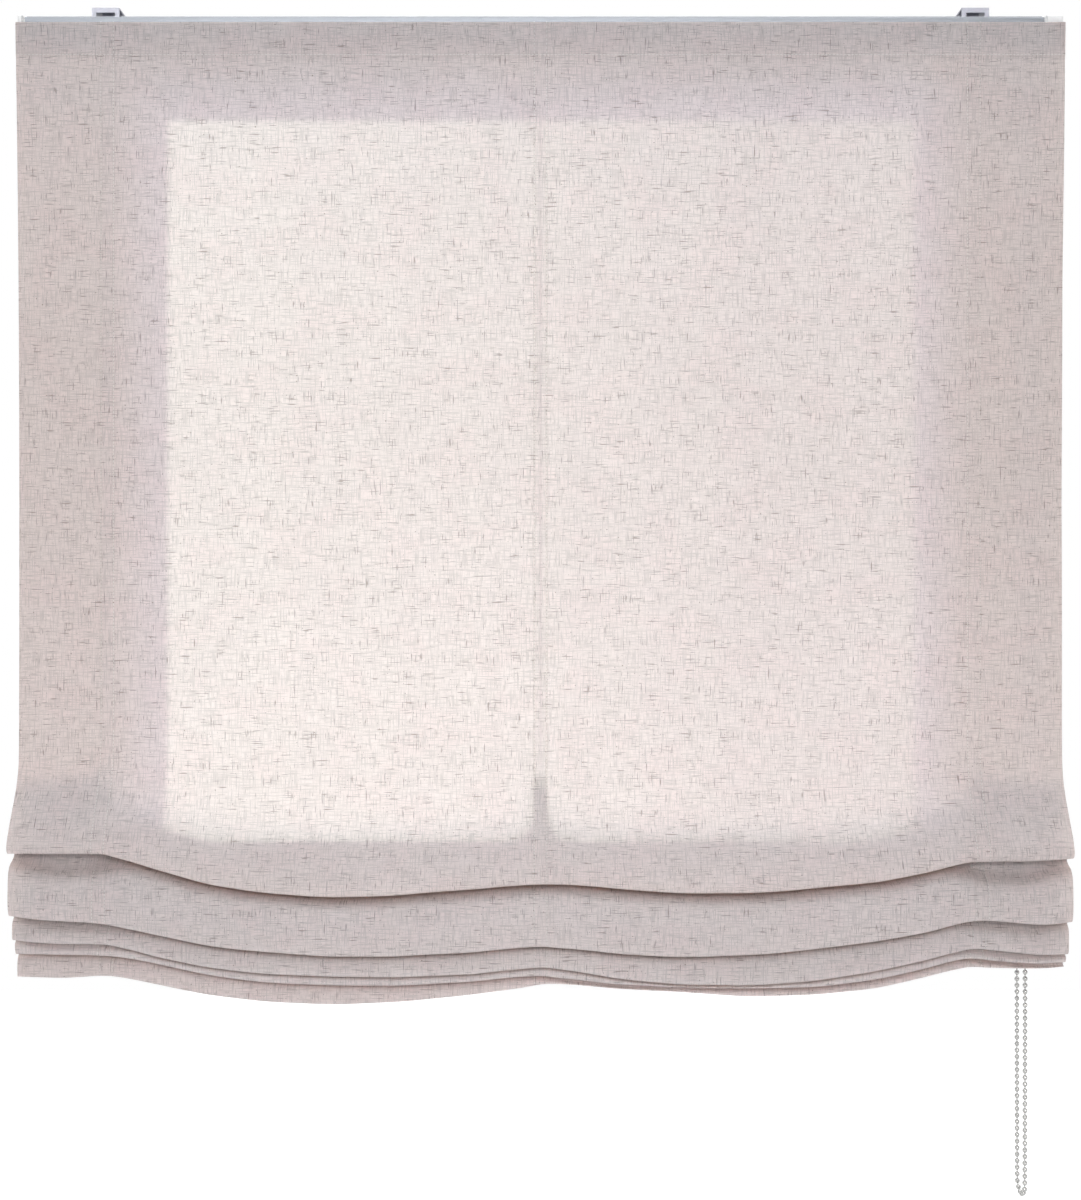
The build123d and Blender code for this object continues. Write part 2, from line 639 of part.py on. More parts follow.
# ---------------------------------------------- ceiling brackets with levers
for side_name, side in (("left", -1), ("right", 1)):
    bracket_x = side * bracket_spacing / 2
    pivot_x = bracket_x - side * pivot_offset
    skirt_y = bracket_depth / 2
    hook_y = slot_mouth / 2 - 2 * slot_clearance

    with BuildPart() as ceiling_bracket:
        with BuildSketch(Plane.XY.offset(-bracket_sheet)):
            with Locations((bracket_x, 0)):
                RectangleRounded(bracket_width, bracket_depth, 1.2)
                Circle(screw_radius, mode=Mode.SUBTRACT)
            with Locations((pivot_x, 0)):
                Circle(rivet_radius, mode=Mode.SUBTRACT)
        extrude(amount=bracket_sheet)
        with BuildSketch(Plane.XZ.offset(skirt_y - bracket_sheet)):
            with Locations((bracket_x, 0)):
                Rectangle(bracket_width, -lever_bottom_z, align=(Align.CENTER, Align.MAX))
            with Locations((bracket_x, lever_bottom_z + window_sill)):
                Rectangle(
                    window_width, window_height, align=(Align.CENTER, Align.MIN), mode=Mode.SUBTRACT
                )
        extrude(amount=bracket_sheet)
        with BuildSketch(Plane.YZ.offset(bracket_x - hook_width / 2)):
            with Locations((-hook_y, -bracket_sheet)):
                Rectangle(
                    bracket_sheet, -bracket_sheet - lever_bottom_z, align=(Align.MIN, Align.MAX)
                )
            with Locations((-slot_mouth / 2 - hook_reach, lever_bottom_z)):
                Rectangle(
                    slot_mouth / 2 + hook_reach - hook_y + bracket_sheet,
                    lever_top_z - lever_bottom_z,
                    align=(Align.MIN, Align.MIN),
                )
        extrude(amount=hook_width)
    ceiling_bracket.part.label = f"ceiling_bracket_{side_name}"
    export_step(ceiling_bracket.part, f"parts/ceiling_bracket_{side_name}.step")

    head_height = 0.5
    with BuildPart() as bracket_rivet:
        with BuildSketch(Plane.XY.offset(lever_bottom_z + head_height)):
            with Locations((pivot_x, 0)):
                Circle(rivet_radius)
        extrude(amount=-lever_bottom_z - head_height)
        with BuildSketch(Plane.XY.offset(lever_top_z + 0.1)):
            with Locations((pivot_x, 0)):
                Circle(rivet_shoulder_radius)
        extrude(amount=-bracket_sheet - lever_top_z - 0.1)
        with Locations((pivot_x, 0, lever_bottom_z + head_height / 2)):
            Cone(rivet_head_radius, rivet_radius, head_height)
    bracket_rivet.part.label = f"bracket_rivet_{side_name}"
    export_step(bracket_rivet.part, f"parts/bracket_rivet_{side_name}.step")

    finger_tip_y = slot_mouth / 2 + hook_reach
    lever_thickness = lever_top_z - lever_bottom_z
    with BuildPart() as bracket_lever:
        with BuildSketch(Plane.XY.offset(lever_bottom_z)):
            with Locations((pivot_x, 0)):
                Circle(lever_disc_radius)
            with Locations((pivot_x, finger_tip_y / 2)):
                Rectangle(lever_finger_width, finger_tip_y)
            with Locations((pivot_x - side * lever_arm_reach / 2, 0)):
                Rectangle(lever_arm_reach, lever_arm_width)
        extrude(amount=lever_thickness)
        with BuildSketch(Plane.XY.offset(lever_bottom_z)):
            with Locations((pivot_x - side * (lever_arm_reach - lever_knob_length / 2), 0)):
                Rectangle(lever_knob_length, lever_arm_width)
        extrude(amount=lever_knob_height)
        with BuildSketch(Plane.XY.offset(lever_bottom_z)):
            with Locations((pivot_x, 0)):
                Circle(rivet_radius + running_clearance)
        extrude(amount=lever_thickness, mode=Mode.SUBTRACT)
        with Locations((pivot_x, 0, lever_bottom_z + head_height / 2)):
            Cone(
                rivet_head_radius + running_clearance,
                rivet_radius + running_clearance,
                head_height,
                mode=Mode.SUBTRACT,
            )
    bracket_lever.part.label = f"bracket_lever_{side_name}"
    export_step(bracket_lever.part, f"parts/bracket_lever_{side_name}.step")
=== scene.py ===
"""Looks of a rodless roman blind with a chain driven headrail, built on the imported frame.

Metres. The origin is on the ceiling, midway between the two bracket screws, with +X right, +Y to
the window and +Z up.
"""

import json
import math

import bmesh
import bpy
import numpy as np
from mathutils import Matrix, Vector


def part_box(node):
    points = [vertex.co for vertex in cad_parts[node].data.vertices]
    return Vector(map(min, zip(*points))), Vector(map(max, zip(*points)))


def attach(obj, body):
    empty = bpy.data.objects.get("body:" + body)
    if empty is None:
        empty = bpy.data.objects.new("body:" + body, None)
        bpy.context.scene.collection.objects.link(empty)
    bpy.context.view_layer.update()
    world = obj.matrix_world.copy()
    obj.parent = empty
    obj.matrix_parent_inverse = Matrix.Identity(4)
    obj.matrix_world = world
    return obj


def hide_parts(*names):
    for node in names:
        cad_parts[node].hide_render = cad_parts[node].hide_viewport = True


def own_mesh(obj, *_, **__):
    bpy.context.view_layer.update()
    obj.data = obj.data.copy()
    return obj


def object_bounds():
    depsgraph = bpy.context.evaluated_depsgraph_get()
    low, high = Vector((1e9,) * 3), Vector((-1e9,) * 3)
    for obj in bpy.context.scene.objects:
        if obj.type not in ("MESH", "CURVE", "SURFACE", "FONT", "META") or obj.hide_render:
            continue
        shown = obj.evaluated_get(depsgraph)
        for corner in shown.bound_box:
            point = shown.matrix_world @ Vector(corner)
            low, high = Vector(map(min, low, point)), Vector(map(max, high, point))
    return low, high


bl_info = {
    "name": "Roman Blind Builder",
    "version": (1, 0, 0),
    "blender": (4, 5, 0),
    "location": "View3D > Sidebar > Blind",
    "description": "Builds the cloth, cords, chain, stitches and finishes of a roman blind",
    "category": "Object",
}

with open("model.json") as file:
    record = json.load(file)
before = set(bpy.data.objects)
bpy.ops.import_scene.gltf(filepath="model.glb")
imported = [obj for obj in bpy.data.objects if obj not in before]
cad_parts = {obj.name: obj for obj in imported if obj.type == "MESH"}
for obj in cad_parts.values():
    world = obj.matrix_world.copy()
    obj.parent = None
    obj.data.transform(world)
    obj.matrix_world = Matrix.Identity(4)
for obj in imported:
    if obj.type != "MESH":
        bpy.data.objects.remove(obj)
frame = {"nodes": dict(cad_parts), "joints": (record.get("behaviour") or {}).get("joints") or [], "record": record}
cad_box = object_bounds()

MM = 0.001
TAPES = ("left", "centre", "right")
RAIL_BODY = "headrail_set"
STACK_BODY = "stack"
HEAD_LOW, HEAD_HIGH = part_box("shade_head")
DROP_LOW, DROP_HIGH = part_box("shade_drop")
STACK_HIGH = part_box("shade_stack")[1]
HEAD_END_Z = (HEAD_LOW.z + DROP_HIGH.z) / 2
DROP_END_Z = (DROP_LOW.z + STACK_HIGH.z) / 2
LIFT_TRAVEL = next(j for j in frame["joints"] if j["name"] == "lift")["range_m"][1]


def centre_of(node):
    """Middle of a CAD node's box."""
    low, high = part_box(node)
    return (low + high) / 2


TAPE_X = {tape: centre_of(f"ring_tape_drop_{tape}").x for tape in TAPES}
TAPE_HALF = (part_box("ring_tape_drop_left")[1].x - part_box("ring_tape_drop_left")[0].x) / 2
RING_Y = centre_of("ring_row_6").y
RING_Z = {row: centre_of(f"ring_row_{row}").z for row in range(7)}
CLOTH_Y = (DROP_LOW.y + DROP_HIGH.y) / 2
SEAM_INSET = 0.0006  # of the tapes' seams from their edges
PROUD = 0.0001  # of the stitches on the cloth
TAPE_GAP = 0.0006  # from the middle of the cloth to the front of its tape
TAPE_THICK = 0.00035
TAPE_END = 0.052  # from the end of the cloth to the lower end of each tape


# ---- settings
def length(name, description, default):
    """A size in metres that a user may change."""
    return bpy.props.FloatProperty(
        name=name, description=description, default=default, min=0.0, unit="LENGTH", precision=5
    )


def colour(name, description, default):
    """A linear colour that a user may change."""
    return bpy.props.FloatVectorProperty(
        name=name, description=description, default=default, size=3, subtype="COLOR",
        min=0.0, max=1.0,
    )


def share(name, description, default):
    """A number from 0 to 1 that a user may change."""
    return bpy.props.FloatProperty(
        name=name, description=description, default=default, min=0.0, max=1.0, subtype="FACTOR"
    )


class BlindClothSettings(bpy.types.PropertyGroup):
    """Sizes and colours of the cloth, its tapes and its thread."""

    back_sag: length("Back sag", "Sag of the ridges behind the folds between the tapes", 0.056)
    ripple: length("Ripple", "Height of the soft ripples in the cloth", 0.0007)
    stitch_pitch: length("Stitch pitch", "Distance from stitch to stitch", 0.0034)
    thread: length("Thread", "Radius of the sewing thread", 0.0003)
    linen: colour("Linen", "Ground colour of the cloth", (0.7, 0.672, 0.685))
    slub: colour("Slub", "Colour of the dark slubs in the weave", (0.155, 0.12, 0.105))
    thread_colour: colour("Thread colour", "Colour of the sewing thread", (0.78, 0.73, 0.69))
    tape_colour: colour("Tape colour", "Colour of the ring tape", (0.8, 0.78, 0.74))
    light_through: share("Light through", "Share of the light that passes the cloth", 0.36)


class BlindChainSettings(bpy.types.PropertyGroup):
    """Sizes and colours of the ball chain and the lift cords."""

    ball_radius: length("Ball radius", "Radius of each ball", 0.00225)
    ball_pitch: length("Ball pitch", "Distance from ball to ball", 0.006)
    wire_radius: length("Wire radius", "Radius of the links between the balls", 0.0006)
    cord_radius: length("Cord radius", "Radius of the lift cords", 0.0007)
    ball_colour: colour("Ball colour", "Colour of the metal balls", (0.42, 0.42, 0.412))
    cord_colour: colour("Cord colour", "Colour of the lift cords", (0.84, 0.82, 0.77))


class BlindHardwareSettings(bpy.types.PropertyGroup):
    """Colours of the headrail and its fittings."""

    aluminium: colour("Aluminium", "Colour of the anodised headrail", (0.208, 0.22, 0.24))
    cap: colour("Cap", "Colour of the end pieces", (0.83, 0.84, 0.85))
    moulding: colour("Moulding", "Colour of the drive parts and cradles", (0.72, 0.72, 0.7))
    steel: colour("Steel", "Colour of the bare steel", (0.56, 0.57, 0.58))
    bracket: colour("Bracket", "Colour of the ceiling brackets", (0.42, 0.425, 0.49))


class BlindStageSettings(bpy.types.PropertyGroup):
    """Floor, lights and camera."""

    floor_colour: colour("Floor colour", "Colour of the floor", (0.93, 0.93, 0.93))
    floor_drop: length("Floor drop", "Height of the blind's lowest point over the floor", 0.3)
    distance: length("Distance", "From the camera to the cloth", 1.6)
    frame_width: length("Frame width", "Width that the camera sees at the cloth", 0.9783)
    ambient: bpy.props.FloatProperty(
        name="Ambient", description="Strength of the even light all round", default=0.25, min=0.0
    )
    eye_z: bpy.props.FloatProperty(
        name="Eye height", description="Height of the camera", default=-0.538, unit="LENGTH"
    )


# ---- shader building
def add_node(tree, kind, sockets=None, **settings):
    """Adds a node: its settings first, then the values or links of its sockets."""
    made = tree.nodes.new(kind)
    for key, setting in settings.items():
        setattr(made, key, setting)
    for key, value in (sockets or {}).items():
        socket = made.inputs[key]
        if isinstance(value, Value):
            value = value.socket
        if isinstance(value, bpy.types.NodeSocket):
            tree.links.new(value, socket)
        elif socket.type == "RGBA":
            socket.default_value = (*value, 1.0)
        else:
            socket.default_value = value
    return made.outputs


class Value:
    """A socket of a finish's node tree that takes arithmetic."""

    def __init__(self, finish, socket):
        self.finish = finish
        self.socket = socket

    def maths(self, operation, *others):
        sides = dict(enumerate((self, *others)))
        return self.finish.node("ShaderNodeMath", sides, operation=operation)

    def __add__(self, other):
        return self.maths("ADD", other)

    def __mul__(self, other):
        return self.maths("MULTIPLY", other)

    def __sub__(self, other):
        return self.maths("SUBTRACT", other)

    def __rsub__(self, other):
        return self.finish.node("ShaderNodeMath", {0: other, 1: self}, operation="SUBTRACT")

    __radd__, __rmul__ = __add__, __mul__

    def smoothly(self, low, high):
        """0 below `low`, 1 above `high`, and smooth between them."""
        return self.finish.node(
            "ShaderNodeMapRange", {"Value": self, "From Min": low, "From Max": high},
            interpolation_type="SMOOTHSTEP",
        )


class Finish:
    """A procedural material in the making."""

    def __init__(self, name):
        self.material = bpy.data.materials.new(name)
        self.material.use_nodes = True
        self.tree = self.material.node_tree
        self.tree.nodes.clear()

    def node(self, kind, sockets=None, output=0, **settings):
        """Adds a node, and gives one of its outputs."""
        return Value(self, add_node(self.tree, kind, sockets, **settings)[output])

    def surface(self):
        """Coordinates in metres along the piece's own cloth or cord."""
        return self.node("ShaderNodeUVMap", uv_map="Surface")

    def place(self):
        """Coordinates in metres in the frame."""
        return self.node("ShaderNodeTexCoord", output=3)

    def parts(self, vector):
        """The x, y and z of a vector."""
        split = self.node("ShaderNodeSeparateXYZ", {0: vector}).socket.node
        return [Value(self, split.outputs[axis]) for axis in range(3)]

    def noise(self, vector, stretch, detail=2.0, roughness=0.5, turn=0.0):
        """Noise of a number of cells per metre along each axis."""
        laid = self.node(
            "ShaderNodeMapping", {"Vector": vector, "Rotation": (0, 0, turn), "Scale": stretch}
        )
        return self.node(
            "ShaderNodeTexNoise",
            {"Vector": laid, "Scale": 1.0, "Detail": detail, "Roughness": roughness},
        )

    def mixed(self, factor, one, other, blend="MIX"):
        """A colour between two colours."""
        return self.node(
            "ShaderNodeMix", {0: factor, 6: one, 7: other}, 2, data_type="RGBA", blend_type=blend
        )

    def bump(self, height, distance, strength=1.0):
        return self.node(
            "ShaderNodeBump", {"Height": height, "Distance": distance, "Strength": strength}
        )

    def principled(self, **sockets):
        named = {
            key.replace("_", " ").title().replace("Ior", "IOR"): value
            for key, value in sockets.items()
        }
        return self.node("ShaderNodeBsdfPrincipled", named)

    def tones(self, factor, ground, low, high):
        """The ground colour, from `low` times to `high` times itself."""
        return self.mixed(factor, shaded(ground, low), shaded(ground, high))

    def painted(self, **sockets):
        """Ends the tree with one principled shader, and gives the material."""
        return self.done(self.principled(**sockets))

    def done(self, shader):
        add_node(self.tree, "ShaderNodeOutputMaterial", {"Surface": shader})
        return self.material


def shaded(tone, factor):
    """A colour made lighter or darker by a factor."""
    return tuple(min(1.0, part * factor) for part in tone)


PASSED_TINT = (1.0, 0.72, 0.56)  # of the light that comes through the cloth


def woven_finish(name, ground, slub, through, seam_x):
    """Linen look cloth: fine crossed yarns, dark slubs, knots, a soft mottle, and tape seams whose grooves get a
    bump and a painted shade line.
    """
    finish = Finish(name)
    surface = finish.surface()
    weft = finish.noise(surface, (55.0, 900.0, 1.0), 3.0, 0.65)
    warp = finish.noise(surface, (900.0, 55.0, 1.0), 3.0, 0.65)
    yarns = weft * 0.5 + warp * 0.5
    crossed = weft.maths("MAXIMUM", warp)
    mottle = finish.noise(surface, (9.0, 11.0, 1.0), 2.0, 0.5)
    blush = finish.noise(surface, (22.0, 26.0, 1.0), 2.0, 0.5, 0.4)

    across = finish.noise(surface, (64.0, 860.0, 1.0), 1.5, 0.4)
    along = finish.noise(surface, (860.0, 72.0, 1.0), 1.5, 0.4)
    patches = finish.noise(surface, (75.0, 75.0, 1.0), 1.0, 0.5)
    across_slubs = (across + patches * 0.24).smoothly(0.765, 0.84)
    along_slubs = (along + patches * 0.24).smoothly(0.775, 0.85)
    slubs = across_slubs.maths("MAXIMUM", along_slubs)
    knots = finish.noise(surface, (560.0, 560.0, 1.0), 1.0, 0.4).smoothly(0.695, 0.77)
    flecks = (slubs * 0.55).maths("MAXIMUM", knots * 0.66)

    pale = finish.tones(mottle, ground, 0.95, 1.05)
    rosy = finish.mixed(
        blush.smoothly(0.45, 0.62) * 0.5,
        pale,
        (ground[0] * 1.02, ground[1] * 0.965, ground[2] * 0.975),
    )
    threads = finish.mixed(crossed.smoothly(0.44, 0.66), rosy, shaded(ground, 0.76))
    body = finish.mixed(flecks, threads, slub)
    u = finish.parts(surface)[0]
    seam_grooves_and_shade = None
    for line_x in seam_x:
        groove_and_shade = 1.0 - (u - line_x).maths("ABSOLUTE").smoothly(0.0002, 0.0011)
        seam_grooves_and_shade = groove_and_shade if seam_grooves_and_shade is None else seam_grooves_and_shade.maths("MAXIMUM", groove_and_shade)
    # Painted shade: the base colour is darkened along each tape seam, for the shade in the groove that the
    # stitching pulls in.
    body = finish.mixed(seam_grooves_and_shade * 0.14, body, shaded(slub, 1.6))
    normal = finish.bump(yarns - slubs * 0.1 - seam_grooves_and_shade * 0.35, 0.00045, 0.8)
    cloth = finish.principled(
        base_color=body,
        roughness=finish.node(
            "ShaderNodeMapRange", {"Value": yarns, "To Min": 0.8, "To Max": 0.96}
        ),
        normal=normal,
        specular_ior_level=0.2,
        sheen_weight=0.12,
        sheen_roughness=0.5,
    )
    passed = finish.mixed(1.0, body, PASSED_TINT, "MULTIPLY")
    glow = finish.node("ShaderNodeBsdfTranslucent", {"Color": passed, "Normal": normal})
    return finish.done(finish.node("ShaderNodeMixShader", {0: through, 1: cloth, 2: glow}))


def tape_finish(name, ground):
    """Narrow sheer tape with a rib across it."""
    finish = Finish(name)
    surface = finish.surface()
    rib = finish.node(
        "ShaderNodeTexWave",
        {"Vector": surface, "Scale": 75.0, "Distortion": 0.6, "Detail": 1.0},
        wave_type="BANDS", bands_direction="Y",
    )
    fuzz = finish.noise(surface, (900.0, 500.0, 1.0), 2.0)
    tone = finish.tones(rib * 0.5 + fuzz * 0.4, ground, 0.82, 1.04)
    return finish.painted(
        base_color=tone,
        roughness=0.75 + fuzz * 0.2,
        alpha=0.02 + rib * 0.05,
        normal=finish.bump(rib + fuzz * 0.5, 0.0002, 0.7),
        sheen_weight=0.15,
    )


def thread_finish(name, ground, twist=900.0):
    """Twisted thread or braided cord."""
    finish = Finish(name)
    place = finish.place()
    ply = finish.noise(place, (twist, twist, twist * 0.5), 2.0)
    worn = finish.noise(place, (40.0, 40.0, 40.0), 2.0)
    tone = finish.tones(ply, ground, 0.8, 1.06)
    return finish.painted(
        base_color=finish.mixed(worn * 0.3, tone, shaded(ground, 0.88)),
        roughness=0.6 + ply * 0.3,
        normal=finish.bump(ply, 0.0001, 0.6),
        sheen_weight=0.1,
    )


def cord_finish(name, ground):
    """Round braided cord of six strands, with its braid along the cord's own length."""
    finish = Finish(name)
    u, v, _ = finish.parts(finish.surface())
    round_turn, along = u * (2 * math.pi * 3), v * 2600.0
    right = (along + round_turn).maths("SINE")
    left = (along - round_turn).maths("SINE")
    braid = right.maths("MAXIMUM", left) * 0.5 + 0.5
    return finish.painted(
        base_color=finish.tones(braid, ground, 0.68, 1.05),
        roughness=0.85 - braid * 0.2,
        normal=finish.bump(braid, 0.00015, 0.6),
        sheen_weight=0.1,
    )


def drawn_metal_finish(name, ground, rough, grain, depth=0.00003):
    """Drawn, rolled or wound metal with its grain along one axis and a faint uneven tone."""
    finish = Finish(name)
    place = finish.place()
    lines = finish.noise(place, grain, 3.0, 0.6)
    clouds = finish.noise(place, (30.0, 30.0, 30.0), 3.0)
    tone = finish.tones(lines * 0.6 + clouds * 0.4, ground, 0.86, 1.1)
    return finish.painted(
        base_color=tone,
        metallic=1.0,
        roughness=(rough - 0.07) + lines * 0.1 + clouds * 0.05,
        normal=finish.bump(lines, depth, 0.5),
    )


def moulded_finish(name, ground, rough=0.45, grain=1400.0, coat=0.0):
    """Moulded plastic with a fine spark texture and a faint tone from the flow."""
    finish = Finish(name)
    place = finish.place()
    spark = finish.noise(place, (grain, grain, grain), 2.0, 0.7)
    flow = finish.noise(place, (26.0, 26.0, 60.0), 3.0)
    tone = finish.tones(flow, ground, 0.93, 1.05)
    return finish.painted(
        base_color=finish.mixed(spark * 0.25, tone, shaded(ground, 0.86)),
        roughness=rough - 0.06 + spark * 0.08 + flow * 0.06,
        normal=finish.bump(spark, 0.00006, 0.35),
        coat_weight=coat,
        coat_roughness=0.15,
    )


def painted_finish(name, ground):
    """Stoved paint on pressed steel: a slight orange peel and paler rubbed patches."""
    finish = Finish(name)
    place = finish.place()
    peel = finish.noise(place, (900.0, 900.0, 900.0), 2.0, 0.5)
    rubbed = finish.noise(place, (160.0, 160.0, 260.0), 4.0, 0.65).smoothly(0.58, 0.75)
    tone = finish.mixed(rubbed * 0.35, ground, shaded(ground, 1.25))
    return finish.painted(
        base_color=tone,
        metallic=0.2,
        roughness=0.36 + rubbed * 0.16,
        normal=finish.bump(peel, 0.00005, 0.4),
        coat_weight=0.25,
        coat_roughness=0.2,
    )


def pile_finish(name, ground, cells):
    """Hook or loop tape: rows of tiny pips."""
    finish = Finish(name)
    place = finish.place()
    pips = finish.node(
        "ShaderNodeTexVoronoi", {"Vector": place, "Scale": cells, "Randomness": 0.35}, feature="F1"
    )
    tufts = 1.0 - pips.smoothly(0.1, 0.55)
    tone = finish.tones(tufts, ground, 0.62, 1.05)
    return finish.painted(
        base_color=tone,
        roughness=0.9 - tufts * 0.2,
        normal=finish.bump(tufts, 0.0004, 0.8),
        sheen_weight=0.1,
    )


# ---- mesh building
def seam_lines(*tapes):
    """Places across where tapes are sewn to the cloth, two for each."""
    return [
        TAPE_X[tape] + side * (TAPE_HALF - SEAM_INSET) for tape in tapes for side in (-1, 1)
    ]


def finish_once(name, maker, *details):
    """A finish that several operators share, made the first time it is asked for."""
    return bpy.data.materials.get(name) or maker(name, *details)


def cloth_material():
    """The linen of the head, the drop and the folds."""
    cloth = bpy.context.scene.blind_cloth
    return finish_once(
        "linen_cloth", woven_finish, tuple(cloth.linen), tuple(cloth.slub),
        cloth.light_through, seam_lines(*TAPES),
    )


def linked(name, data):
    """A new object in the scene."""
    made = bpy.data.objects.new(name, data)
    bpy.context.scene.collection.objects.link(made)
    return made


def mesh_object(name, points, faces, material, surface=None, sharp=None):
    """A piece from its points and faces, with its own surface coordinates for each point."""
    mesh = bpy.data.meshes.new(name)
    mesh.from_pydata([tuple(map(float, p)) for p in points], [], [tuple(f) for f in faces])
    mesh.validate()
    mesh.shade_smooth()
    if sharp is not None:
        mesh.set_sharp_from_angle(angle=sharp)
    if surface is not None:
        layer = mesh.uv_layers.new(name="Surface")
        corners = np.zeros(len(mesh.loops), np.int32)
        mesh.loops.foreach_get("vertex_index", corners)
        layer.data.foreach_set("uv", np.asarray(surface, np.float32)[corners].ravel())
    mesh.materials.append(material)
    return linked(name, mesh)


def grid_faces(rows, columns):
    """Faces of a grid of points, facing the room where the rows run down and the columns right."""
    faces = []
    for row in range(rows - 1):
        for column in range(columns - 1):
            here = row * columns + column
            faces.append((here, here + columns, here + columns + 1, here + 1))
    return faces


def rounded(points):
    """Stretches of a smooth line: runs to each midpoint, and a parabola round each corner."""
    route = np.asarray(points, float)
    middles = (route[:-1] + route[1:]) / 2
    pieces = [(route[0], (route[0] + middles[0]) / 2, middles[0])]
    pieces += [(middles[i], route[i + 1], middles[i + 1]) for i in range(len(middles) - 1)]
    pieces += [(middles[-1], (middles[-1] + route[-1]) / 2, route[-1])]
    return pieces


def steps_for(pieces, spacing):
    """How many steps each stretch of a smooth line gets."""
    counts = []
    for a, b, c in pieces:
        run = np.linalg.norm(b - a) + np.linalg.norm(c - b)
        counts.append(int(max(3, math.ceil(run / spacing))))
    return counts


def walked(pieces, counts):
    """Points along a smooth line, with a fixed number of steps for each stretch."""
    points = [pieces[0][0]]
    for (a, b, c), steps in zip(pieces, counts):
        for step in range(1, steps + 1):
            t = step / steps
            points.append((1 - t) ** 2 * a + 2 * t * (1 - t) * b + t * t * c)
    return np.array(points)


def run_lengths(points):
    """Length from the first point to each point of a line."""
    runs = np.linalg.norm(np.diff(points, axis=0), axis=1)
    return np.concatenate([[0.0], np.cumsum(runs)])


def sideways(points):
    """Unit vectors across a line in the (y, z) plane, to its right as it is walked."""
    along = np.gradient(points, axis=0)
    along /= np.linalg.norm(along, axis=1)[:, None]
    return np.stack([along[:, 1], -along[:, 0]], axis=1)


# ---- shape of the cloth
# Lowest line of each of the four folds and of the hem, in millimetres: x, then five heights.
FOLD_LINES = (
    (-475, -763.2, -818.6, -842.5, -856.6, -878.0),
    (-455, -763.2, -822.1, -845.1, -857.0, -878.6),
    (-430, -763.2, -823.0, -846.0, -857.5, -879.4),
    (-400, -763.2, -824.8, -846.0, -858.0, -877.1),
    (-388, -763.5, -825.9, -846.4, -858.6, -877.4),
    (-372, -767.5, -829.2, -849.6, -860.2, -879.3),
    (-345, -776.5, -835.4, -857.6, -865.6, -885.3),
    (-301, -788.8, -844.3, -866.6, -875.4, -894.3),
    (-248, -797.7, -850.5, -872.8, -882.6, -900.6),
    (-187, -802.1, -854.9, -875.2, -885.0, -903.3),
    (-125, -800.3, -854.9, -876.0, -885.3, -900.6),
    (-62, -795.0, -851.4, -873.3, -881.7, -894.3),
    (-20, -791.0, -846.8, -868.4, -877.0, -888.5),
    (4, -790.4, -846.0, -866.8, -876.3, -884.4),
    (26, -790.4, -847.8, -869.6, -879.2, -884.8),
    (70, -794.1, -852.2, -877.2, -884.0, -888.9),
    (124, -798.6, -855.8, -882.5, -886.3, -891.6),
    (187, -798.6, -854.0, -883.4, -887.4, -896.1),
    (248, -793.3, -847.8, -879.0, -886.4, -894.3),
    (302, -788.0, -840.7, -870.1, -879.9, -888.9),
    (346, -779.1, -832.8, -860.3, -870.0, -878.9),
    (372, -771.5, -824.8, -852.8, -862.0, -871.7),
    (388, -770.3, -823.0, -850.0, -860.4, -869.0),
    (403, -770.3, -823.0, -851.4, -862.0, -869.9),
    (428, -770.3, -825.7, -854.1, -864.7, -870.5),
    (455, -769.5, -827.5, -856.8, -865.6, -870.8),
    (475, -767.6, -824.0, -855.0, -863.8, -869.0),
)


def softened(values, passes):
    """Values with their corners eased, but their ends kept."""
    eased = np.array(values, float)
    for _ in range(passes):
        eased[1:-1] = eased[1:-1] * 0.5 + (eased[:-2] + eased[2:]) * 0.25
    return eased


def wave(x, *waves):
    """Sum of sines: each is (height, cycles per metre, start)."""
    return sum(high * np.sin(2 * np.pi * (rate * x + start)) for high, rate, start in waves)


def ripple(x, z):
    """Soft standing ripples of the hanging cloth, forward of its flat plane."""
    depth = bpy.context.scene.blind_cloth.ripple
    upright = wave(x + 0.05 * z, (0.5, 2.6, 0.1), (0.3, 5.3, 0.4), (0.2, 9.1, 0.8))
    level = wave(z + 0.08 * x, (0.25, 2.1, 0.3), (0.2, 4.7, 0.6))
    crossing = np.sin(9.0 * x + 14.0 * z) * np.sin(17.0 * z - 6.0 * x)
    return depth * (upright + level + 0.35 * crossing)


# Height, and how far in the sides are drawn there.
EDGE_HEIGHTS = (-0.66, -0.45, -0.25, -0.07, -0.015)
EDGE_DRAWN = (0.003, 0.0034, 0.0026, 0.0006, 0.0)


def edge_squeezed(x, z):
    """x drawn in a little at the sides where the cloth hangs free."""
    half = HEAD_HIGH.x
    inner = TAPE_X["right"] + TAPE_HALF
    drawn = np.interp(z, EDGE_HEIGHTS, EDGE_DRAWN)
    share_out = np.clip((np.abs(x) - inner) / (half - inner), 0.0, 1.0)
    return x - np.sign(x) * drawn * share_out


COLUMN_PITCH, ROW_PITCH, HEAD_PITCH = 0.0078, 0.0062, 0.006  # between the points of the cloth
TAPE_SIDES = (0.0, 3.0, 6.3, 8.5, 11.5, 15.5, 21.0)  # columns beside each tape, in millimetres


def cloth_columns():
    """Places across the blind: close beside the tapes, wider in the bays."""
    half = HEAD_HIGH.x
    marks = {-half, half}
    for x in TAPE_X.values():
        for away in TAPE_SIDES:
            marks.update((x - away * MM, x + away * MM))
    stops = sorted(mark for mark in marks if -half <= mark <= half)
    columns = [stops[0]]
    for before, after in zip(stops, stops[1:]):
        steps = max(1, round((after - before) / COLUMN_PITCH))
        columns += [before + (after - before) * (step + 1) / steps for step in range(steps)]
    return np.array(columns)


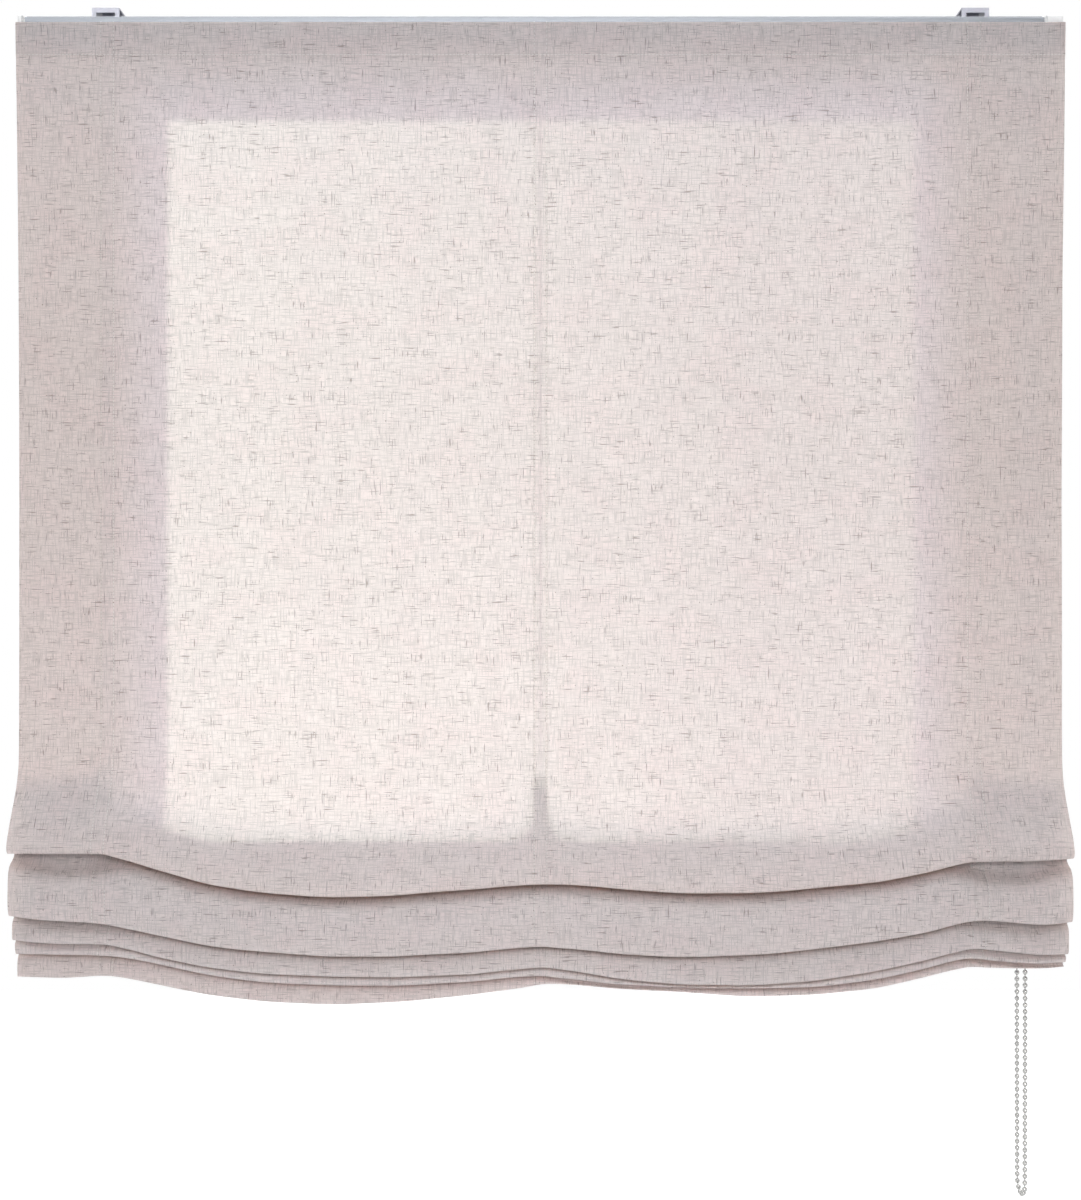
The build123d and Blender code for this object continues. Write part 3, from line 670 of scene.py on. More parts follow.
FOLD_DEPTH = (0.0385, 0.035, 0.0215, 0.0134)  # of the four loops, forward of the flat cloth
HEM_SEAM = 0.0025  # from the end of the turned up hem
RIDGE_RISE = 0.0016  # of each ridge over its ring
SIDE_SAG = 0.012  # of the ridges at the sides, past the outer tapes
HELD = 0.03  # to each side of a tape, where the folds are drawn together
LAYER = 0.0021  # between the layers of cloth, where nothing presses them
# First and last point of each stretch of the folds' route that faces the room.
FRONT_STRETCHES = ((0, 5), (12, 16), (25, 29), (37, 40), (45, 51))


def from_tape(x):
    """Distance across to the nearest tape."""
    return min(abs(x - tape_x) for tape_x in TAPE_X.values())


def ridge_sink(x, first_line):
    """How far the ridges behind the folds hang below their rings at one place across."""
    if abs(x) > TAPE_X["right"]:
        return SIDE_SAG * (1.0 - math.exp(-from_tape(x) / 0.03))
    room = RING_Z[0] + RIDGE_RISE - first_line - 0.006
    sag = bpy.context.scene.blind_cloth.back_sag * (1.0 - math.exp(-from_tape(x) / 0.006))
    return min(sag, room)


def fold_points(x, lines):
    """Route of the folded cloth at one place across, as (forward, z), from the drop to the hem."""
    za, zb, zc, zd, hem = lines
    held = max(0.0, 1.0 - from_tape(x) / HELD)
    pressed = held * held * (3.0 - 2.0 * held)
    free = 1.0 - pressed
    lean = free * wave(x, (1.5, 3.7, 0.15), (1.0, 7.9, 0.5), (0.7, 14.0, 0.2)) * MM
    wing = np.interp(abs(x), (0.365, 0.395, 0.435, 0.475), (0.0, 1.0, 1.0, 0.3))
    gape = 0.0009 + 0.0006 * free + 0.0115 * wing
    slit = 0.0008 + 0.003 * wing
    sink = ridge_sink(x, za)
    ridges = [RING_Z[3 - loop] + RIDGE_RISE - sink for loop in range(4)]
    layer = LAYER * (1.0 - 0.8 * pressed)
    fan = ridges[3] - 0.02 * pressed * math.exp(-sink / 0.02)
    back = -0.0035 * free
    step = RING_Z[3] - RING_Z[2]
    a, b, c, d = (
        depth + lean * (1.0, 0.8, 0.4, 0.2)[loop] for loop, depth in enumerate(FOLD_DEPTH)
    )
    route = [
        (0.0, DROP_END_Z),
        (0.0, DROP_END_Z - 0.012),
        (0.04 * a + 0.0035 * pressed, za + 0.064),
        (a, za + 0.013),
        (a, za),
        (a - 0.014, za),
        (7 * layer, fan),
        (layer, ridges[0]),
        (back, ridges[0]),
        (back, ridges[0] - layer),
        (2 * layer, ridges[0] - step),
        (6 * layer, fan),
        (b - 0.0235, za - 0.002 - 0.7 * gape),
        (b - 0.005, za - 0.004 - 1.2 * gape),
        (b - 0.0005, za - 0.012 - 2.0 * gape),
        (b, zb),
        (b - 0.011, zb),
        (b - 0.0215, zb + 0.05),
        (5 * layer, fan),
        (layer, ridges[1]),
        (back, ridges[1]),
        (back, ridges[1] - layer),
        (2 * layer, ridges[1] - step),
        (4 * layer, fan),
        (c - 0.0107, zb + 0.03),
        (c - 0.0095, zb - slit),
        (c - 0.0015, zb - 0.004 - 1.5 * slit),
        (c, zb - 0.011 - slit),
        (c, zc),
        (c - 0.009, zc),
        (c - 0.0131, zc + 0.068),
        (3 * layer, fan),
        (layer, ridges[2]),
        (back, ridges[2]),
        (back, ridges[2] - layer),
        (2 * layer, ridges[2] - step),
        (d - 0.0075, zc + 0.055),
        (d - 0.0065, zc - 0.5 * slit),
        (d, zc - 0.0025 - slit),
        (d - 0.0025, zd),
        (d - 0.0072, zd),
        (d - 0.0092, zd + 0.072),
        (layer, ridges[3]),
        (back, ridges[3]),
        (0.0012, ridges[3] - 0.05),
        (-0.002, zd + 0.008),
        (-0.0018, zd - 0.001),
        (0.005, zd - 0.0045),
        (0.005, hem),
        (0.0028, hem),
        (-0.004, hem + 0.02),
        (-0.005, hem + 0.03),
    ]
    return [(CLOTH_Y - forward, z) for forward, z in route]


def fold_section(x, lines, counts=None):
    """Smooth section of the folds at one place across, and the steps of each stretch."""
    pieces = rounded(fold_points(x, lines))
    if counts is None:
        counts = steps_for(pieces, ROW_PITCH)
    points = walked(pieces, counts)
    fade = np.clip((points[:, 1] - (DROP_END_Z - 0.03)) / 0.03, 0.0, 1.0)
    points[:, 0] -= ripple(x, points[:, 1]) * fade
    return points, counts


def front_rows(counts):
    """1 for each row of the folds' section that faces the room, easing to 0 behind."""
    stretches = np.concatenate([[0], np.repeat(np.arange(len(counts)), counts)])
    front = np.zeros(len(stretches))
    for first, last in FRONT_STRETCHES:
        front[(stretches >= first) & (stretches <= last)] = 1.0
    return softened(front, 4)


def fold_lines(columns):
    """Heights of the four folds and of the hem at each column."""
    table = np.array(FOLD_LINES) * MM
    return np.stack(
        [softened(np.interp(columns, table[:, 0], table[:, k]), 3) for k in range(1, 6)], axis=1
    )


def fold_steps(lines):
    """Steps of each stretch of the folds' section, the same for every column."""
    return fold_section(0.1, lines[len(lines) // 2])[1]


def tape_section(tape):
    """Section of the folds on the middle of one tape."""
    columns = cloth_columns()
    lines = fold_lines(columns)
    at = int(np.argmin(np.abs(columns - TAPE_X[tape])))
    return fold_section(columns[at], lines[at], fold_steps(lines))[0]


def sheet_between(name, sections, columns, material, start_v, front=None):
    """A sheet through one section for each column, with its weave counted down from start_v.

    Rows marked in `front` take the weave's height from their own place, so that it is the same
    size in every column; the others share one height across the sheet.
    """
    rows = len(sections[0])
    front = np.zeros(rows) if front is None else front
    runs = np.mean([run_lengths(section) for section in sections], axis=0)
    levels = np.mean([section[:, 1] for section in sections], axis=0)
    points, surface = [], []
    for row in range(rows):
        for column, x in enumerate(columns):
            y, z = sections[column][row]
            points.append((edge_squeezed(x, z), y, z))
            surface.append((x, start_v - runs[row] + front[row] * (z - levels[row])))
    return mesh_object(name, points, grid_faces(rows, len(columns)), material, surface)


def strip_shell(name, line, x, half_width, thickness, material):
    """A narrow closed strip along a line of (y, z) points, thickness to the line's right."""
    across = sideways(line)
    outer = line + across * thickness
    runs = run_lengths(line)
    points, surface = [], []
    for (y, z), (outer_y, outer_z), run in zip(line, outer, runs):
        for side_x, py, pz in (
            (-half_width, y, z), (half_width, y, z),
            (half_width, outer_y, outer_z), (-half_width, outer_y, outer_z),
        ):
            points.append((x + side_x, py, pz))
            surface.append((side_x, -run))
    faces = []
    for row in range(len(line) - 1):
        for corner in range(4):
            a, b = row * 4 + corner, row * 4 + (corner + 1) % 4
            faces.append((a, b, b + 4, a + 4))
    last = (len(line) - 1) * 4
    faces += [(3, 2, 1, 0), (last, last + 1, last + 2, last + 3)]
    made = mesh_object(name, points, faces, material, surface, math.radians(40))
    return outward(made)


def outward(piece):
    """Turns a closed piece's faces outwards."""
    shell = bmesh.new()
    shell.from_mesh(piece.data)
    bmesh.ops.recalc_face_normals(shell, faces=shell.faces)
    shell.to_mesh(piece.data)
    shell.free()
    return piece


# ---- cords and chain
CHAIN_TOP_Z, CHAIN_BOTTOM_Z = -0.0416778, -1.0824  # of the ends and the bottom of its line
BEND_DEPTH, BEND_CORNERS = 0.016, 6  # of the chain's bend at the bottom
CORD_PITCH = 0.0045  # between the rows of points of a cord
CORD_EASE = 6  # diameters of the cord, from the upper and lower ring to its straight run


def nurbs_line(name, route):
    """A NURBS curve object on a route of control points."""
    curve = bpy.data.curves.new(name, "CURVE")
    curve.dimensions = "3D"
    curve.resolution_u = 24
    spline = curve.splines.new("NURBS")
    spline.points.add(len(route) - 1)
    for point, place in zip(spline.points, route):
        point.co = (*place, 1.0)
    spline.order_u = 3
    spline.use_endpoint_u = True
    return linked(name, curve)


def line_points(curve_object):
    """Points of a curve with no bevel, in order."""
    bpy.context.view_layer.update()
    graph = bpy.context.evaluated_depsgraph_get()
    mesh = bpy.data.meshes.new_from_object(curve_object.evaluated_get(graph))
    points = [vertex.co.copy() for vertex in mesh.vertices]
    bpy.data.meshes.remove(mesh)
    bpy.data.objects.remove(curve_object)
    return points


def even_points(points, spacing):
    """Points at about even distances along a line, its ends kept."""
    line = np.array([tuple(point) for point in points])
    runs = run_lengths(line)
    steps = max(2, round(runs[-1] / spacing))
    at = np.linspace(0.0, runs[-1], steps + 1)
    return np.stack([np.interp(at, runs, line[:, axis]) for axis in range(3)], axis=1)


def tube_object(name, points, radius, material, sides):
    """A closed round tube along points, with surface coordinates round and along it."""
    line = np.asarray(points, float)
    along = np.gradient(line, axis=0)
    along /= np.linalg.norm(along, axis=1)[:, None]
    first = np.array((1.0, 0.0, 0.0))
    verts, surface = [], []
    for place, heading, run in zip(line, along, run_lengths(line)):
        first = first - heading * float(first @ heading)
        first /= np.linalg.norm(first)
        second = np.cross(heading, first)
        for side in range(sides):
            turn = 2 * math.pi * side / sides
            verts.append(place + radius * (math.cos(turn) * first + math.sin(turn) * second))
            surface.append((side / sides, run))
    faces = []
    for row in range(len(line) - 1):
        for side in range(sides):
            a, b = row * sides + side, row * sides + (side + 1) % sides
            faces.append((a, b, b + sides, a + sides))
    faces.append(tuple(reversed(range(sides))))
    faces.append(tuple(range(len(verts) - sides, len(verts))))
    return mesh_object(name, verts, faces, material, surface, math.radians(60))


def chain_route():
    """Control points of the ball chain: down the front strand, round the bottom and up behind."""
    low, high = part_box("ball_chain")
    radius = bpy.context.scene.blind_chain.ball_radius
    wheel_x = (low.x + high.x) / 2
    strand = high.y - radius
    step = math.pi / BEND_CORNERS
    route = [(wheel_x, -strand, CHAIN_TOP_Z)]
    for corner in range(BEND_CORNERS):
        angle = (corner + 0.5) * step
        across, down = (f(angle) / math.cos(step / 2) for f in (math.cos, math.sin))
        route.append((wheel_x, -strand * across, CHAIN_BOTTOM_Z + BEND_DEPTH * (1 - down)))
    route.append((wheel_x, strand, CHAIN_TOP_Z))
    return route


# ---- repeated pieces
class Nodes:
    """A geometry node tree in the making."""

    def __init__(self, name, sizes):
        self.tree = bpy.data.node_groups.new(name, "GeometryNodeTree")
        add_socket = self.tree.interface.new_socket
        add_socket("Path", in_out="INPUT", socket_type="NodeSocketGeometry")
        for size_name in sizes:
            add_socket(size_name, in_out="INPUT", socket_type="NodeSocketFloat")
        add_socket("Pieces", in_out="OUTPUT", socket_type="NodeSocketGeometry")
        self.inputs = self.tree.nodes.new("NodeGroupInput").outputs

    def node(self, kind, sockets=None, **settings):
        """Adds a node, and gives its outputs."""
        return add_node(self.tree, kind, sockets, **settings)

    def maths(self, operation, one, other):
        return self.node("ShaderNodeMath", {0: one, 1: other}, operation=operation)[0]

    def finished(self, pieces, material):
        """Ends the tree: real geometry, smooth, in one material."""
        real = self.node("GeometryNodeRealizeInstances", {0: pieces})[0]
        smooth = self.node("GeometryNodeSetShadeSmooth", {0: real})[0]
        painted = self.node("GeometryNodeSetMaterial", {0: smooth, "Material": material})[0]
        self.node("NodeGroupOutput", {0: painted})
        return self.tree


FACET_GAIN = 1.04  # makes up for the flat faces of a ball with few of them


def along_path_tree(name, material, linked):
    """Small round pieces at even steps along a path, with a wire through them if linked."""
    nodes = Nodes(name, ("Pitch", "Radius", "Length", "Wire"))
    curve = nodes.node("GeometryNodeMeshToCurve", {0: nodes.inputs["Path"]})[0]
    steps = nodes.node(
        "GeometryNodeResampleCurve", {"Curve": curve, "Length": nodes.inputs["Pitch"]},
        mode="LENGTH",
    )[0]
    heading = nodes.node("GeometryNodeInputTangent")[0]
    turned = nodes.node("FunctionNodeAlignRotationToVector", {"Vector": heading}, axis="Z")[0]
    segments, rings = (10, 7) if linked else (5, 4)
    radius = nodes.maths("MULTIPLY", nodes.inputs["Radius"], FACET_GAIN)
    piece = nodes.node(
        "GeometryNodeMeshUVSphere", {"Segments": segments, "Rings": rings, "Radius": radius}
    )[0]
    stretch = nodes.maths("DIVIDE", nodes.inputs["Length"], nodes.inputs["Radius"])
    half = nodes.maths("MULTIPLY", stretch, 0.5)
    scale = nodes.node("ShaderNodeCombineXYZ", {0: 1.0, 1: 1.0, 2: half})[0]
    laid = nodes.node(
        "GeometryNodeInstanceOnPoints",
        {"Points": steps, "Instance": piece, "Rotation": turned, "Scale": scale},
    )[0]
    if not linked:
        return nodes.finished(laid, material)
    profile = nodes.node(
        "GeometryNodeCurvePrimitiveCircle", {"Resolution": 6, "Radius": nodes.inputs["Wire"]}
    )[0]
    wire = nodes.node(
        "GeometryNodeCurveToMesh", {"Curve": steps, "Profile Curve": profile, "Fill Caps": True}
    )[0]
    joined = nodes.node("GeometryNodeJoinGeometry", {0: laid})[0]
    nodes.tree.links.new(wire, joined.node.inputs[0])
    return nodes.finished(joined, material)


def paths_object(name, paths):
    """A mesh of open lines for a node tree to follow."""
    points, edges = [], []
    for path in paths:
        first = len(points)
        points += [tuple(map(float, point)) for point in path]
        edges += [(first + i, first + i + 1) for i in range(len(path) - 1)]
    mesh = bpy.data.meshes.new(name)
    mesh.from_pydata(points, edges, [])
    return linked(name, mesh)


def grown(name, paths, tree, **sizes):
    """Runs a node tree along paths and keeps the result as one plain mesh."""
    source = paths_object(name + "_paths", paths)
    modifier = source.modifiers.new("Pieces", "NODES")
    modifier.node_group = tree
    for socket in tree.interface.items_tree:
        if socket.in_out == "INPUT" and socket.name in sizes:
            modifier[socket.identifier] = float(sizes[socket.name])
    bpy.context.view_layer.update()
    graph = bpy.context.evaluated_depsgraph_get()
    mesh = bpy.data.meshes.new_from_object(source.evaluated_get(graph))
    mesh.name = name
    source.modifiers.remove(modifier)
    bpy.data.objects.remove(source)
    return linked(name, mesh)


STITCH_SHARE = 0.78  # of the stitch pitch that one stitch covers


def stitches(name, paths):
    """Rows of stitches along paths that lie on the cloth's face."""
    cloth = bpy.context.scene.blind_cloth
    thread = finish_once("sewing_thread", thread_finish, tuple(cloth.thread_colour))
    tree = bpy.data.node_groups.get("stitch_rows") or along_path_tree("stitch_rows", thread, False)
    return grown(
        name, paths, tree, Pitch=cloth.stitch_pitch, Radius=cloth.thread,
        Length=cloth.stitch_pitch * STITCH_SHARE, Wire=cloth.thread,
    )


def squash_with_lift(piece, top_z, bottom_z):
    """Hangs a piece of the drop from the headrail and gives it its own copy of its mesh."""
    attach(piece, RAIL_BODY)
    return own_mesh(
        piece, "lift", axis=(0, 0, 1), anchor=(0, 0, top_z),
        keep=1.0 - LIFT_TRAVEL / (top_z - bottom_z),
    )


# ---- operators
class BLIND_OT_stage(bpy.types.Operator):
    """Set up the camera, the pale floor and the soft lights"""

    bl_idname = "blind.stage"
    bl_label = "Stage"

    def execute(self, context):
        stage = context.scene.blind_stage
        scene = context.scene
        camera_data = bpy.data.cameras.new("camera")
        camera_data.sensor_fit = "HORIZONTAL"
        camera_data.sensor_width = 36.0
        camera_data.lens = camera_data.sensor_width * stage.distance / stage.frame_width
        camera_data.clip_start, camera_data.clip_end = 0.05, 60.0
        camera = linked("camera", camera_data)
        camera.location = (0.0, CLOTH_Y - stage.distance, stage.eye_z)
        camera.rotation_euler = (math.radians(90), 0.0, 0.0)
        scene.camera = camera

        floor_z = cad_box[0].z - stage.floor_drop
        finish = Finish("floor_paint")
        tone = finish.noise(finish.place(), (1.5, 1.5, 1.5), 2.0)
        pale = tuple(stage.floor_colour)
        paint = finish.painted(
            base_color=finish.tones(tone, pale, 0.99, 1.01),
            roughness=0.9,
            specular_ior_level=0.1,
            emission_color=(1.0, 1.0, 1.0),
            emission_strength=0.3,
        )
        near, far, half = -4.0, 2.2, 3.2
        corners = [
            (x, y, floor_z) for x, y in ((-half, near), (half, near), (half, far), (-half, far))
        ]
        mesh_object("floor", corners, [(0, 1, 2, 3)], paint)

        world = bpy.data.worlds.new("studio")
        world.use_nodes = True
        tree = world.node_tree
        tree.nodes.clear()
        ray = add_node(tree, "ShaderNodeLightPath")
        seen = add_node(
            tree, "ShaderNodeMath", {0: ray["Is Camera Ray"], 1: ray["Is Glossy Ray"]},
            operation="MAXIMUM",
        )[0]
        even, white = (
            add_node(
                tree, "ShaderNodeBackground", {"Strength": strength, "Color": (1.0, 1.0, 1.0)}
            )[0]
            for strength in (stage.ambient, 1.0)
        )
        mix = add_node(tree, "ShaderNodeMixShader", {0: seen, 1: even, 2: white})[0]
        add_node(tree, "ShaderNodeOutputWorld", {"Surface": mix})
        scene.world = world
        scene.view_settings.view_transform = "Standard"

        drop_middle = (HEAD_LOW.z + DROP_LOW.z) / 2
        window_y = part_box("headrail")[1].y + 0.012
        glow_z, frame_z = -0.432, -0.495
        glow_left, glow_right, glow_height = -0.3375, 0.3385, 0.655
        # Name, place, target, size, watts, colour and spread in degrees.
        lights = [
            ("key_light", (-1.0, -2.9, 0.25), (0.0, 0.0, drop_middle), (1.5, 1.3),
             20.3, (0.985, 0.99, 0.99), 180),
            ("fold_light", (0.5, -2.9, 0.1), (0.0, 0.0, -0.87), (1.0, 0.6),
             2.15, (1.0, 0.95, 0.91), 34),
            ("head_light", (0.0, -2.4, 0.4), (0.0, 0.0, -0.06), (1.2, 0.2),
             0.36, (1.0, 1.0, 1.0), 18),
            ("floor_light", (0.0, 0.6, 3.0), (0.0, 0.6, 0.0), (5.0, 5.0),
             210.0, (1.0, 1.0, 1.0), 180),
            ("frame_light", (-0.003, window_y + 0.004, frame_z), (-0.003, -1.0, frame_z),
             (0.725, 0.84), 1.55, (0.366, 0.535, 1.0), 80),
        ]
        # The window: one even light, and narrower ones that brighten it towards its left side.
        # Each has its own depth, because lights that share one plane hide each other.
        glows = [(glow_right, 1.44, (0.63, 1.0, 0.7))]
        for edge in (-0.22, -0.13, -0.05, 0.02, 0.09, 0.16):
            glows.append((edge, 0.43, (0.6, 0.92, 1.0)))
        for step, (right, watts, tint) in enumerate(glows):
            middle, wide = (glow_left + right) / 2, right - glow_left
            lights.append(
                (f"window_light_{step}", (middle, window_y - 0.001 * step, glow_z),
                 (middle, -1.0, glow_z), (wide, glow_height),
                 watts * wide * glow_height, tint, 12)
            )
        for name, place, target, size, watts, tint, spread in lights:
            light = bpy.data.lights.new(name, "AREA")
            light.shape = "RECTANGLE"
            light.size, light.size_y = size
            light.energy = watts
            light.color = tint
            light.spread = math.radians(spread)
            lamp = linked(name, light)
            lamp.location = place
            heading = Vector(target) - Vector(place)
            lamp.rotation_euler = heading.to_track_quat("-Z", "Y").to_euler()
            lamp.visible_camera = False
        return {"FINISHED"}


class BLIND_OT_ball_chain(bpy.types.Operator):
    """Thread the balls and their links along the endless chain"""

    bl_idname = "blind.ball_chain"
    bl_label = "Ball chain"

    def execute(self, context):
        chain = context.scene.blind_chain
        route = chain_route()
        path = line_points(nurbs_line("chain_line", route))
        metal = finish_once(
            "ball_metal", drawn_metal_finish, tuple(chain.ball_colour), 0.24, (500, 500, 500), 2e-5
        )
        tree = along_path_tree("ball_chain_links", metal, True)
        made = grown(
            "ball_chain_beads", [even_points(path, chain.ball_pitch)], tree,
            Pitch=chain.ball_pitch, Radius=chain.ball_radius, Length=chain.ball_radius * 2,
            Wire=chain.wire_radius,
        )
        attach(made, RAIL_BODY)
        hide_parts("ball_chain")
        return {"FINISHED"}


class BLIND_OT_lift_cords(bpy.types.Operator):
    """Hang the three lift cords from their drums, through the rings, to the cord locks"""

    bl_idname = "blind.lift_cords"
    bl_label = "Lift cords"

    def execute(self, context):
        chain = context.scene.blind_chain
        braid = finish_once("braided_cord", cord_finish, tuple(chain.cord_colour))
        for tape in TAPES:
            x = TAPE_X[tape]
            low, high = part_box(f"lift_cord_{tape}")
            near_ring = CORD_EASE * 2 * chain.cord_radius
            leave_y = high.y - chain.cord_radius
            leave_z = high.z - chain.cord_radius * 0.2
            route = [
                (x, leave_y, leave_z),
                (x, RING_Y, RING_Z[6]),
                (x, RING_Y, RING_Z[6] - near_ring),
                (x, RING_Y, RING_Z[0] + near_ring),
                (x, RING_Y, low.z),
            ]
            path = line_points(nurbs_line(f"cord_line_{tape}", route))
            even = even_points(path, CORD_PITCH)
            made = tube_object(f"braided_cord_{tape}", even, chain.cord_radius, braid, 8)
            squash_with_lift(made, leave_z, low.z)
            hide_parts(f"lift_cord_{tape}")
        return {"FINISHED"}


class BLIND_OT_upper_cloth(bpy.types.Operator):
    """Hang the doubled top hem, the flat cloth below it, and their seams"""

    bl_idname = "blind.upper_cloth"
    bl_label = "Upper cloth"

    def execute(self, context):
        linen = cloth_material()
        columns = cloth_columns()
        top, seam_z = HEAD_HIGH.z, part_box("ring_tape_head_left")[1].z
        back, face = CLOTH_Y + 0.00025, HEAD_LOW.y + 0.0004
        route = [
            (back, seam_z + 0.0005), (back, top - 0.003), (back, top), (face, top),
            (face, top - 0.003), (face, seam_z + 0.003), (face, seam_z + 0.0006),
            (CLOTH_Y, seam_z - 0.0008), (CLOTH_Y, seam_z - 0.006), (CLOTH_Y, HEAD_END_Z),
        ]
        pieces = rounded(route)
        section = walked(pieces, steps_for(pieces, HEAD_PITCH))
        sections = []
        for x in columns:
            moved = section.copy()
            fade = np.clip((seam_z - moved[:, 1]) / (seam_z - HEAD_END_Z), 0.0, 1.0)
            moved[:, 0] -= ripple(x, moved[:, 1]) * fade
            sections.append(moved)
        head_run = run_lengths(section)[-1]
        head = sheet_between("cloth_head", sections, columns, linen, HEAD_END_Z + head_run)
        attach(head, RAIL_BODY)
        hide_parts("shade_head")

        levels = np.linspace(HEAD_END_Z, DROP_END_Z, 85)
        sections = [
            np.stack([CLOTH_Y - ripple(x, levels), levels], axis=1) for x in columns
        ]
        drop = sheet_between("cloth_drop", sections, columns, linen, HEAD_END_Z)
        squash_with_lift(drop, HEAD_END_Z, DROP_END_Z)
        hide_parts("shade_drop")

        seam_y = face - PROUD
        along = np.linspace(HEAD_LOW.x + 0.002, HEAD_HIGH.x - 0.002, 200)
        hem_row = [(edge_squeezed(x, seam_z), seam_y, seam_z + 0.0018) for x in along]
        head_rows = [hem_row]
        drop_rows = []
        head_levels = np.linspace(seam_z - 0.001, HEAD_END_Z, 8)
        fades = (seam_z - head_levels) / (seam_z - HEAD_END_Z)
        for line_x in seam_lines(*TAPES):
            head_rows.append([(line_x, seam_y, top - 0.001), (line_x, seam_y, seam_z + 0.004)])
            head_rows.append([
                (line_x, CLOTH_Y - PROUD - ripple(line_x, z) * fade, z)
                for z, fade in zip(head_levels, fades)
            ])
            drop_rows.append([
                (line_x, CLOTH_Y - PROUD - ripple(line_x, z), z) for z in levels[:-1]
            ])
        head_thread = stitches("stitches_head", head_rows)
        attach(head_thread, RAIL_BODY)
        drop_thread = stitches("stitches_drop", drop_rows)
        squash_with_lift(drop_thread, HEAD_END_Z, DROP_END_Z)

        return {"FINISHED"}


class BLIND_OT_folded_cloth(bpy.types.Operator):
    """Hang the gathered lower cloth with its four folds and the bottom hem"""

    bl_idname = "blind.folded_cloth"
    bl_label = "Folded cloth"

    def execute(self, context):
        columns = cloth_columns()
        lines = fold_lines(columns)
        counts = fold_steps(lines)
        sections = [fold_section(x, line, counts)[0] for x, line in zip(columns, lines)]
        middle_run = run_lengths(sections[len(columns) // 2])
        stack = sheet_between(
            "cloth_folds", sections, columns, cloth_material(), DROP_END_Z, front_rows(counts)
        )
        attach(stack, STACK_BODY)
        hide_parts("shade_stack")

        rows = []
        for tape in TAPES:
            section = tape_section(tape)
            face = section + sideways(section) * PROUD
            for line_x in seam_lines(tape):
                rows.append([(line_x, y, z) for y, z in face[1:]])
        hem_row = int(np.searchsorted(middle_run, middle_run[-1] - HEM_SEAM))
        hem = [(x, *section[hem_row]) for x, section in zip(columns[1:-1], sections[1:-1])]
        rows.append([(edge_squeezed(x, z), y + PROUD, z) for x, y, z in hem])
        thread = stitches("stitches_folds", rows)
        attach(thread, STACK_BODY)
        return {"FINISHED"}


class BLIND_OT_ring_tapes(bpy.types.Operator):
    """Sew the three ring tapes behind the cloth"""

    bl_idname = "blind.ring_tapes"
    bl_label = "Ring tapes"

    def execute(self, context):
        cloth = context.scene.blind_cloth
        woven = finish_once("woven_tape", tape_finish, tuple(cloth.tape_colour))
        for tape in TAPES:
            x = TAPE_X[tape]
            for stretch, upper, lower in (
                ("head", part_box(f"ring_tape_head_{tape}")[1].z, HEAD_END_Z),
                ("drop", HEAD_END_Z, DROP_END_Z),
            ):
                levels = np.linspace(upper, lower, max(4, round((upper - lower) / 0.008)))
                fade = 1.0 if stretch == "drop" else (upper - levels) / (upper - lower)
                behind = CLOTH_Y - ripple(x, levels) * fade + TAPE_GAP
                line = np.stack([behind, levels], axis=1)
                made = strip_shell(
                    f"tape_{stretch}_{tape}", line, x, TAPE_HALF, -TAPE_THICK, woven
                )
                if stretch == "drop":
                    squash_with_lift(made, HEAD_END_Z, DROP_END_Z)
                else:
                    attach(made, RAIL_BODY)
                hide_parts(f"ring_tape_{stretch}_{tape}")
            section = tape_section(tape)
            runs = run_lengths(section)
            section = section[runs < runs[-1] - TAPE_END]
            line = section - sideways(section) * TAPE_GAP
            made = strip_shell(f"tape_folds_{tape}", line, x, TAPE_HALF, -TAPE_THICK, woven)
            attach(made, STACK_BODY)
            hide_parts(f"ring_tape_stack_{tape}")
        return {"FINISHED"}


DARK_PLASTIC, CLEAR_PLASTIC, RING_WHITE = (0.09, 0.095, 0.1), (0.8, 0.81, 0.81), (0.8, 0.8, 0.78)
HOOK_WHITE, LOOP_WHITE = (0.7, 0.7, 0.68), (0.76, 0.75, 0.72)


